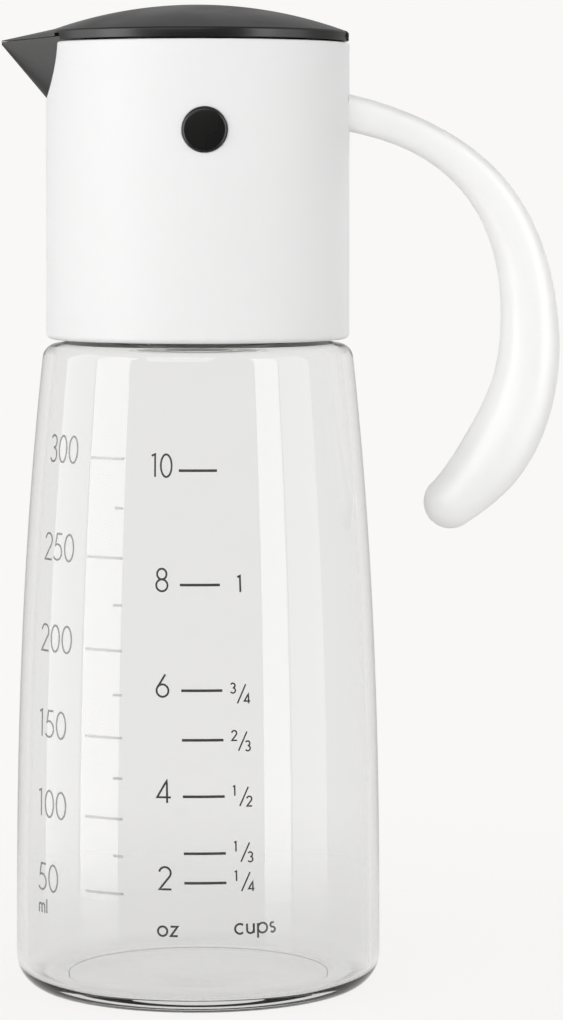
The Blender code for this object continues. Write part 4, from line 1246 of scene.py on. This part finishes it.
    def insert(self) -> None:
        """The black cup with its duct, air vent, beak and the fixed ears of the hinge."""
        low, high = self.floor
        edge = self.cup_edge
        profile = [(0.0, self.cup_top)]
        profile += arc((self.cup_outer - edge, self.cup_top - edge), edge, 90, 0, 3)
        profile += arc((self.cup_outer - edge, low + edge), edge, 0, -90, 3)
        profile.append((0.0, low))
        piece = Bench.lathe("spout", profile, steps=144)
        body = self.beak.solid("beak_body", 0.0, 0.0, self.cup_inner - self.beak_root)
        Bench.combine(piece, Shape.FUSE, body, *self.ear(-1), *self.ear(1))
        Bench.combine(piece, Shape.CUT, self.room())
        root = self.cup_inner - self.channel_root
        channel = self.beak.solid("beak_channel", -self.beak_wall, self.channel_lift, root)
        end = -self.duct_foot - 2 * self.duct_wall
        start = (end - self.hole_length, -self.hole_half, low - OVERCUT)
        hole = Bench.block("pour_hole", start, (end, self.hole_half, high + self.hole_over))
        Bench.combine(piece, Shape.CUT, channel, hole)
        x, top = self.vent_x, high + self.vent_rise
        tube = Bench.bar("vent_tube", self.vent_radius, (x, 0, low + edge), (x, 0, top), sides=48)
        Bench.combine(piece, Shape.FUSE, tube)
        reach = 2 * self.cup_outer
        z = self.pivot_height
        vent = Bench.bar("vent_bore", self.vent_bore, (x, 0, low - OVERCUT), (x, 0, top + OVERCUT), sides=48)
        stem = Bench.bar("stem_bore", self.stem_radius + self.gap, (0, -reach, z), (0, reach, z), sides=48)
        Bench.combine(piece, Shape.CUT, vent, stem, self.pin_hole())
        Bench.smooth(piece, 28)
        self.adopt(piece, BEAK_BLACK, "black_plastic", "spout_insert")

    def room(self) -> Solid:
        """The hollow of the cup.

        Returns:
            A solid of the duct in front and the weight's room behind, with the wall between left out.
        """
        wide = 2 * self.cup_outer
        floor = self.floor[1]
        ceiling = self.top + self.headroom
        front = -self.duct_face - self.duct_wall
        slope = math.atan2(self.duct_knee - floor, self.duct_face - self.duct_foot)
        outline = [
            (-wide, floor),
            (-self.duct_foot - self.duct_wall / math.sin(slope), floor),
            (front, self.duct_knee),
            (front, self.duct_top),
            (-self.duct_face, self.duct_top),
            (-self.duct_face, self.duct_knee),
            (-self.duct_foot, floor),
            (wide, floor),
            (wide, ceiling),
            (-wide, ceiling),
        ]
        room = Bench.slab("room", [(x, -wide, z) for x, z in outline], (0, 2 * wide, 0))
        under, over = self.bore_ends
        low, high = (0, 0, floor - under), (0, 0, ceiling + over)
        return Bench.combine(room, Shape.KEEP, Bench.bar("room_bore", self.cup_inner, low, high, sides=144))

    def ear(self, side: int) -> tuple[Solid, ...]:
        """One fixed ear of the hinge.

        Args:
            side: -1 for the front one, 1 for the back one.

        Returns:
            Its knuckle, its arm and its post.
        """
        inner = self.barrel_half + self.gap
        outer = inner + self.knuckle
        low, high = sorted((side * inner, side * outer))
        root_in = math.sqrt(self.cup_inner**2 - inner**2)
        root_out = math.sqrt(self.cup_outer**2 - outer**2)
        x, z = self.hinge_x, self.hinge_z
        top = z + self.arm_rise
        return (
            Bench.bar("knuckle", self.knuckle_radius, (x, low, z), (x, high, z), sides=40),
            Bench.block("knuckle_arm", (root_in, low, self.top + self.gap), (x, high, top)),
            Bench.block("knuckle_post", (root_in, low, self.cup_top - self.post_root), (root_out, high, top)),
        )

    def pin_hole(self) -> Solid:
        """The bore for the hinge pin.

        Returns:
            A bar that ends inside the outer ends of the ears.
        """
        reach = self.barrel_half + self.gap + self.knuckle - self.knuckle_end
        x, z = self.hinge_x, self.hinge_z
        return Bench.bar("pin_hole", self.pin_radius, (x, -reach, z), (x, reach, z), sides=32)

    def handle_line(self, samples: int) -> list[tuple[Vector, Vector]]:
        """Points and directions along the handle.

        Args:
            samples: Stretches in each of its two curves.

        Returns:
            The places and the directions there.
        """
        start = Vector((self.radius - self.wall / 2, 0, self.handle_height))
        end = start + Vector((self.handle_reach, 0, -self.handle_fall))
        run = self.handle_reach * self.start_pull
        first = start + Vector((run, 0, -run * math.tan(math.radians(self.handle_slope))))
        second = end + Vector((0, 0, self.handle_fall * self.end_pull))
        line = []
        for i in range(samples + 1):
            t = i / samples
            u = 1 - t
            point = start * u**3 + first * (3 * u * u * t) + second * (3 * u * t * t) + end * t**3
            along = (first - start) * (u * u) + (second - first) * (2 * u * t) + (end - second) * (t * t)
            line.append((point, along.normalized()))
        low = line[-1][0]
        for i in range(1, samples + 1):
            turn = math.radians(self.curl) * i / samples
            x = low.x - self.curl_radius * (1 - math.cos(turn))
            z = low.z - self.curl_radius * math.sin(turn)
            line.append((Vector((x, 0, z)), Vector((-math.sin(turn), 0, -math.cos(turn)))))
        return line

    @staticmethod
    def section(
        centre: Vector, along: Vector, thickness: float, width: float, squareness: float
    ) -> list[Vector]:
        """A rounded section of the handle, square to its direction.

        Args:
            centre: Its middle.
            along: Direction of the handle there.
            thickness: Its size in the plane of the handle.
            width: Its size across that plane.
            squareness: 2 for an oval, more for flatter sides.

        Returns:
            The points of the section.
        """
        across = Vector((0, 1, 0)).cross(along)
        ring = []
        points = 36
        for i in range(points):
            angle = math.tau * (i + 0.5) / points
            c, s = math.cos(angle), math.sin(angle)
            y = width / 2 * math.copysign(abs(c) ** (2 / squareness), c)
            n = thickness / 2 * math.copysign(abs(s) ** (2 / squareness), s)
            ring.append(centre + Vector((0, y, 0)) + across * n)
        return ring

    def handle(self) -> None:
        """The open handle, a strap at the sleeve that becomes a round grip with a free end."""
        line = self.handle_line(samples=18)
        lengths = [0.0]
        for (a, _), (b, _) in zip(line, line[1:]):
            lengths.append(lengths[-1] + (b - a).length)
        rings = []
        for (centre, along), length in zip(line, lengths):
            rings.append(self.section(centre, along, *blend(self.handle_sections, length / lengths[-1])))
        centre, along = line[-1]
        _, thickness, width, squareness = self.handle_sections[-1]
        steps = 8
        for i in range(1, steps + 1):
            angle = math.radians(self.handle_end) * i / steps
            scale = math.cos(angle)
            point = centre + along * (thickness / 2 * math.sin(angle))
            rings.append(self.section(point, along, thickness * scale, width * scale, squareness))
        piece = Bench.loft("grip_handle", rings)
        low, high = self.handle_height - self.handle_seat_half, self.handle_height + self.handle_seat_half
        seat = Bench.bar("handle_seat", self.radius - self.handle_sink, (0, 0, low), (0, 0, high), sides=192)
        Bench.combine(piece, Shape.CUT, seat)
        self.drill(piece, self.pilot_radius, self.pilot_start, self.screw_end)
        Bench.smooth(piece, 40)
        # The handle's whiter white is painted light.
        self.adopt(piece, HANDLE_WHITE_PAINTED_LIGHT, "white_gloss_plastic", "handle")

    def build(self) -> None:
        """Model the visible pieces and dress the hidden ones."""
        self.sleeve()
        self.caps()
        self.insert()
        self.handle()
        self.dress(WHITE_SATIN, "threaded_collar", "axle_spacer_front", "axle_spacer_back")
        self.dress(STEEL, "handle_screw_left", "handle_screw_right", "pivot_axle", "lid_hinge_pin")
        self.dress(SILICONE, "insert_seal", "neck_gasket")


@dataclass
class DomedLid(Assembly):
    """Charcoal lid with its rim band, the tongue over the beak and the hinge barrel."""

    head: PouringHead
    body: str = "lid"
    radius: float = 29.2
    bottom: float = 182.8
    band: float = 1.8
    rise: float = 5.3
    shell: float = 1.6
    band_wall: float = 1.5
    edge: float = 0.3
    top_rounding: float = 0.25
    foot_rounding: float = 0.2
    liner_radius: float = 24.6
    liner_top: float = 182.3
    liner_gap: float = 0.3
    tongue_gap: float = 0.06
    tongue_rise: float = 0.22
    tongue_root: float = 3.0
    tongue_edge: float = 0.2
    tongue_crown: float = 0.08
    tongue_depth: float = 0.4
    beak_gap: float = 0.5
    slot_x: Pair = (-27.75, -26.95)
    slot_side: Pair = (9.2, 13.0)
    slot_height: float = 1.35
    slot_under: float = 1.0

    def dome_radius(self) -> float:
        """Radius of the dome's sphere."""
        return (self.radius**2 + self.rise**2) / (2 * self.rise)

    def dome(self, radius: float, depth: float = 0.0) -> Pair:
        """A point of the dome, or of the surface that far below it.

        Args:
            radius: Its distance from the axis.
            depth: Its depth below the dome.

        Returns:
            The distance and the height.
        """
        sphere = self.dome_radius()
        top = self.bottom + self.band + self.rise
        return (radius, top - sphere + math.sqrt((sphere - depth) ** 2 - radius**2))

    def shell_profile(self) -> list[Pair]:
        """Profile of the lid.

        Returns:
            Its points, from the top over the band to the middle of its underside.
        """
        rim = self.radius - self.edge
        steps = 22
        profile = [self.dome(rim * i / steps) for i in range(steps + 1)]
        top, foot = self.top_rounding, self.foot_rounding
        profile += arc((self.radius - top, self.bottom + self.band - self.edge), top, 60, 0, 3)
        profile += arc((self.radius - foot, self.bottom + foot), foot, 0, -90, 3)
        band = self.radius - self.band_wall
        ring = self.liner_radius - 2 * self.shell
        inner = ring - self.shell
        profile.append((band, self.bottom))
        profile += [self.dome(band + (ring - band) * i / 2, self.shell) for i in range(3)]
        profile += [(ring, self.liner_top + self.liner_gap), (inner, self.liner_top + self.liner_gap)]
        profile += [self.dome(inner * (1 - i / 8), self.shell) for i in range(9)]
        return profile

    def tongue(self) -> Solid:
        """The tongue over the beak.

        Returns:
            A loft from inside the dome to the tip of the beak.
        """
        beak = self.head.beak
        apex = -beak.reach
        edge = self.bottom + self.band - self.edge
        inner = -(self.radius - self.band_wall)
        tip = beak.tip_height + self.tongue_gap + self.tongue_edge
        rings = []
        for x, side in ((inner + self.tongue_root, edge), (inner, edge), (apex + beak.blunt, tip)):
            u = x - apex
            crown = tip + self.tongue_crown + self.tongue_rise * (u - beak.blunt)
            half = beak.width_rate * u
            floor = beak.tip_height + beak.rise_rate * u - self.tongue_depth
            ring = [(x, half, floor), (x, -half, floor), (x, -half, side)]
            for y in [-1 + i / 6 for i in range(1, 12)]:
                ring.append((x, half * y, side + (crown - side) * (1 - y * y)))
            ring.append((x, half, side))
            rings.append(ring)
        return Bench.loft("tongue", rings)

    def lid(self) -> None:
        """The lid itself."""
        head = self.head
        piece = Bench.lathe("domed_lid", self.shell_profile(), steps=192)
        Bench.combine(piece, Shape.FUSE, self.tongue())
        root = head.cup_inner - head.beak_root
        room = head.beak.solid("beak_room", self.beak_gap, 0.0, root, raised=self.tongue_gap)
        Bench.combine(piece, Shape.CUT, room)
        near, far = self.slot_x
        for side in (-1, 1):
            low, high = sorted(side * y for y in self.slot_side)
            start = (near, low, self.bottom - self.slot_under)
            slot = Bench.block("band_slot", start, (far, high, self.bottom + self.slot_height))
            Bench.combine(piece, Shape.CUT, slot)
        self.hinge(piece)
        Bench.smooth(piece, 24)
        self.adopt(piece, CHARCOAL, "charcoal_plastic", "lid")

    def hinge(self, piece: Solid) -> None:
        """Give the lid its hinge barrel and make room for the fixed ears beside it.

        Args:
            piece: The lid.
        """
        head = self.head
        far, high = 2 * self.radius, 2 * self.bottom
        ear = head.barrel_half + head.knuckle + 2 * head.gap
        root = math.sqrt(head.cup_inner**2 - (head.barrel_half + head.gap) ** 2) - head.gap
        reach = (head.barrel_half + ear) / 2
        notch = head.hinge_x - head.barrel_radius / 3
        corner = (far, reach, self.bottom + self.edge / 2)
        Bench.combine(piece, Shape.CUT, Bench.block("hinge_notch", (notch, -reach, 0), corner))
        x, z = head.hinge_x, head.hinge_z
        half = reach + head.gap
        barrel = Bench.bar("barrel", head.barrel_radius, (x, -half, z), (x, half, z), sides=40)
        Bench.combine(piece, Shape.FUSE, barrel)
        for side in (-1, 1):
            start, end = sorted((side * head.barrel_half, side * ear))
            Bench.combine(piece, Shape.CUT, Bench.block("ear_notch", (root, start, 0), (far, end, high)))
        Bench.combine(piece, Shape.CUT, head.pin_hole())

    def build(self) -> None:
        """Model the lid and dress what it carries."""
        self.lid()
        self.dress(BLACK, "lid_liner")
        self.dress(SILICONE, "lid_seal")


class Rocker(Assembly):
    """The gravity lever and its weight, both inside the head."""

    def build(self) -> None:
        """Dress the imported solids."""
        self.dress(BLACK, "rocker")
        self.dress(STEEL, "counterweight")


class Reach(Enum):
    """What the light of a lamp shows up in: shaded colour and reflections."""

    SHADING = (True, False)
    REFLECTIONS = (False, True)


@dataclass
class Lamp:
    """A soft area lamp that looks at the middle of the object."""

    name: str
    azimuth: float
    elevation: float
    distance: float
    width: float
    tall: float
    radiance: float
    reach: Reach
    target: float = 120.0

    def hang(self) -> None:
        """Add the lamp. Its power follows from its radiance and area."""
        turn, tilt = math.radians(self.azimuth), math.radians(self.elevation)
        level = math.cos(tilt)
        away = Vector((math.sin(turn) * level, -math.cos(turn) * level, math.sin(tilt)))
        light = bpy.data.lights.new(self.name, "AREA")
        light.shape = "RECTANGLE"
        light.size = self.width * MM
        light.size_y = self.tall * MM
        light.energy = self.radiance * math.pi * light.size * light.size_y
        obj = bpy.data.objects.new(self.name, light)
        obj.location = Vector((0, 0, self.target * MM)) + away * (self.distance * MM)
        obj.rotation_euler = away.to_track_quat("Z", "Y").to_euler()
        obj.visible_camera = False
        obj.visible_diffuse, obj.visible_glossy = self.reach.value
        obj.visible_transmission = False
        bpy.context.scene.collection.objects.link(obj)
        LOG.info("lamp %s: %.2f W", self.name, light.energy)


@dataclass
class Studio:
    """Pale floor, soft light and the camera."""

    backdrop: Triple = (0.947, 0.939, 0.923)
    ambient: float = 0.4
    front_gloom: float = 0.12
    rear_glow: float = 0.5
    gloom_edges: Pair = (-0.95, -0.2)
    floor_size: float = 6000.0
    floor_height: float = -0.02
    floor_cloud: float = 3.0
    floor_spread: float = 0.995
    shadow_share: float = 0.08
    glass_share: float = 0.4
    shadow_reach: Pair = (60.0, 260.0)
    distance: float = 810.0
    turn: float = -2.5
    eye_height: float = 155.5
    aim: Triple = (16.2, 0.0, 131.7)
    shift: Pair = (0.0, -0.2)
    scale: float = 0.1935
    sensor: float = 36.0
    picture_height: int = 1020
    lamps: tuple[Lamp, ...] = (
        Lamp("left_key", -58, 7, 900, 415, 900, 1.8, Reach.SHADING),
        Lamp("left_strip", -67, 2, 900, 450, 1400, 7.0, Reach.REFLECTIONS),
        Lamp("left_halo", -98, 2, 900, 500, 1400, 2.7, Reach.REFLECTIONS),
        Lamp("right_fill", 75, 7, 1000, 330, 900, 2.9, Reach.SHADING),
        Lamp("right_strip", 48, 2, 1000, 320, 1400, 7.0, Reach.REFLECTIONS),
        Lamp("right_halo", 72, 2, 1000, 480, 1400, 2.7, Reach.REFLECTIONS),
        Lamp("front_panel", -22, 7, 1300, 800, 600, 3.7, Reach.SHADING),
        Lamp("front_sheen", -18, 36, 1300, 1050, 800, 4.0, Reach.REFLECTIONS),
        Lamp("overhead", 0, 75, 1300, 1000, 1000, 0.8, Reach.SHADING),
        Lamp("back_left", -145, 10, 1300, 800, 800, 2.1, Reach.SHADING),
        Lamp("back_right", 145, 10, 1300, 800, 800, 2.1, Reach.SHADING),
    )

    def world(self) -> None:
        """White to the eye and through glass, dim in front for reflections, even for the rest."""
        world = bpy.data.worlds.new("studio")
        bpy.context.scene.world = world
        world.use_nodes = True
        world.cycles.sampling_method = "NONE"
        tree = world.node_tree
        background = tree.nodes["Background"]
        path = wire(tree, "LightPath").outputs
        seen = self.maths(tree, "MAXIMUM", path["Is Camera Ray"], path["Is Transmission Ray"])
        tones = {"Factor": seen, 6: (1, 1, 1, 1), 7: (*self.backdrop, 1)}
        tone = wire(tree, "Mix", tones, data_type="RGBA").outputs[2]
        tree.links.new(tone, background.inputs["Color"])
        place = wire(tree, "TexCoord").outputs["Generated"]
        low, high = self.gloom_edges
        ranges = {
            "Value": wire(tree, "SeparateXYZ", {"Vector": place}).outputs["Y"],
            "From Min": low,
            "From Max": high,
            "To Min": self.front_gloom,
            "To Max": self.rear_glow,
        }
        ramp = wire(tree, "MapRange", ranges, interpolation_type="SMOOTHSTEP").outputs["Result"]
        glossy = self.mix(tree, path["Is Glossy Ray"], self.ambient, ramp)
        tree.links.new(self.mix(tree, seen, glossy, 1.0), background.inputs["Strength"])

    @staticmethod
    def maths(tree: Tree, operation: str, *values: Socket | float) -> Socket:
        """A maths node on sockets or numbers."""
        return wire(tree, "Math", dict(enumerate(values)), operation=operation).outputs["Value"]

    @staticmethod
    def mix(tree: Tree, share: Socket, low: Socket | float, high: Socket | float) -> Socket:
        """A number between two others."""
        return wire(tree, "Mix", {"Factor": share, "A": low, "B": high}, data_type="FLOAT").outputs["Result"]

    def floor_surface(self, tree: Tree) -> Socket:
        """The shader of the floor: the backdrop's colour with a share of real light, clear far away.

        Args:
            tree: The node tree.

        Returns:
            The shader's output.
        """
        place = wire(tree, "TexCoord").outputs["Object"]
        clouds = wire(tree, "TexNoise", {"Vector": place, "Scale": self.floor_cloud}).outputs["Fac"]
        ramp = wire(tree, "ValToRGB", {"Fac": clouds})
        ramp.color_ramp.elements[0].color = (*[c * self.floor_spread for c in self.backdrop], 1)
        ramp.color_ramp.elements[1].color = (*self.backdrop, 1)
        color = {"Color": ramp.outputs["Color"]}
        path = wire(tree, "LightPath").outputs
        through = self.maths(tree, "MAXIMUM", path["Is Glossy Ray"], path["Is Transmission Ray"])
        seen = self.maths(tree, "MAXIMUM", path["Is Camera Ray"], through)
        direct = self.maths(tree, "MULTIPLY", path["Is Camera Ray"], 1 - self.shadow_share)
        indirect = self.maths(tree, "MULTIPLY", through, 1 - self.glass_share)
        lit = {
            "Fac": self.maths(tree, "MAXIMUM", direct, indirect),
            1: wire(tree, "BsdfDiffuse", color).outputs["BSDF"],
            2: wire(tree, "Emission", color).outputs["Emission"],
        }
        near, far = self.shadow_reach
        ranges = {
            "Value": wire(tree, "VectorMath", {0: place}, operation="LENGTH").outputs["Value"],
            "From Min": near * MM,
            "From Max": far * MM,
        }
        fade = wire(tree, "MapRange", ranges, interpolation_type="SMOOTHSTEP").outputs["Result"]
        ending = {
            "Fac": self.maths(tree, "MULTIPLY", seen, fade),
            1: wire(tree, "MixShader", lit).outputs["Shader"],
            2: wire(tree, "BsdfTransparent").outputs["BSDF"],
        }
        return wire(tree, "MixShader", ending).outputs["Shader"]

    def floor(self) -> None:
        """A pale floor that looks like the backdrop and keeps a soft shadow."""
        Bench.select_only()
        place = (0, 0, self.floor_height * MM)
        bpy.ops.mesh.primitive_plane_add(size=self.floor_size * MM, location=place)
        obj = Bench.start("studio_floor")
        material = bpy.data.materials.new("floor")
        material.use_nodes = True
        tree = material.node_tree
        tree.nodes.remove(tree.nodes["Principled BSDF"])
        tree.links.new(self.floor_surface(tree), tree.nodes["Material Output"].inputs["Surface"])
        obj.data.materials.append(material)

    def camera(self) -> None:
        """The camera at the photograph's place."""
        data = bpy.data.cameras.new("camera")
        data.sensor_fit = "VERTICAL"
        data.sensor_height = self.sensor
        data.lens = self.sensor * self.distance / (self.scale * self.picture_height)
        data.shift_x, data.shift_y = self.shift
        data.clip_start = 0.01
        obj = bpy.data.objects.new("camera", data)
        angle = math.radians(self.turn)
        across, away = self.distance * math.sin(angle), self.distance * math.cos(angle)
        place = Vector((across, -away, self.eye_height)) * MM
        obj.location = place
        obj.rotation_euler = (Vector(self.aim) * MM - place).to_track_quat("-Z", "Y").to_euler()
        bpy.context.scene.collection.objects.link(obj)
        bpy.context.scene.camera = obj

    def build(self) -> None:
        """Set up the studio."""
        self.world()
        self.floor()
        for lamp in self.lamps:
            lamp.hang()
        self.camera()
        bpy.context.scene.view_settings.view_transform = "Standard"


def main() -> None:
    """Build and dress every piece."""
    logging.basicConfig(level=logging.INFO, format="%(name)s %(message)s", force=True)
    glass = GlassBottle()
    head = PouringHead(Beak())
    for group in (glass, VolumeScale(glass), head, DomedLid(head), Rocker(), Studio()):
        group.build()


if __name__ == "__main__":
    main()
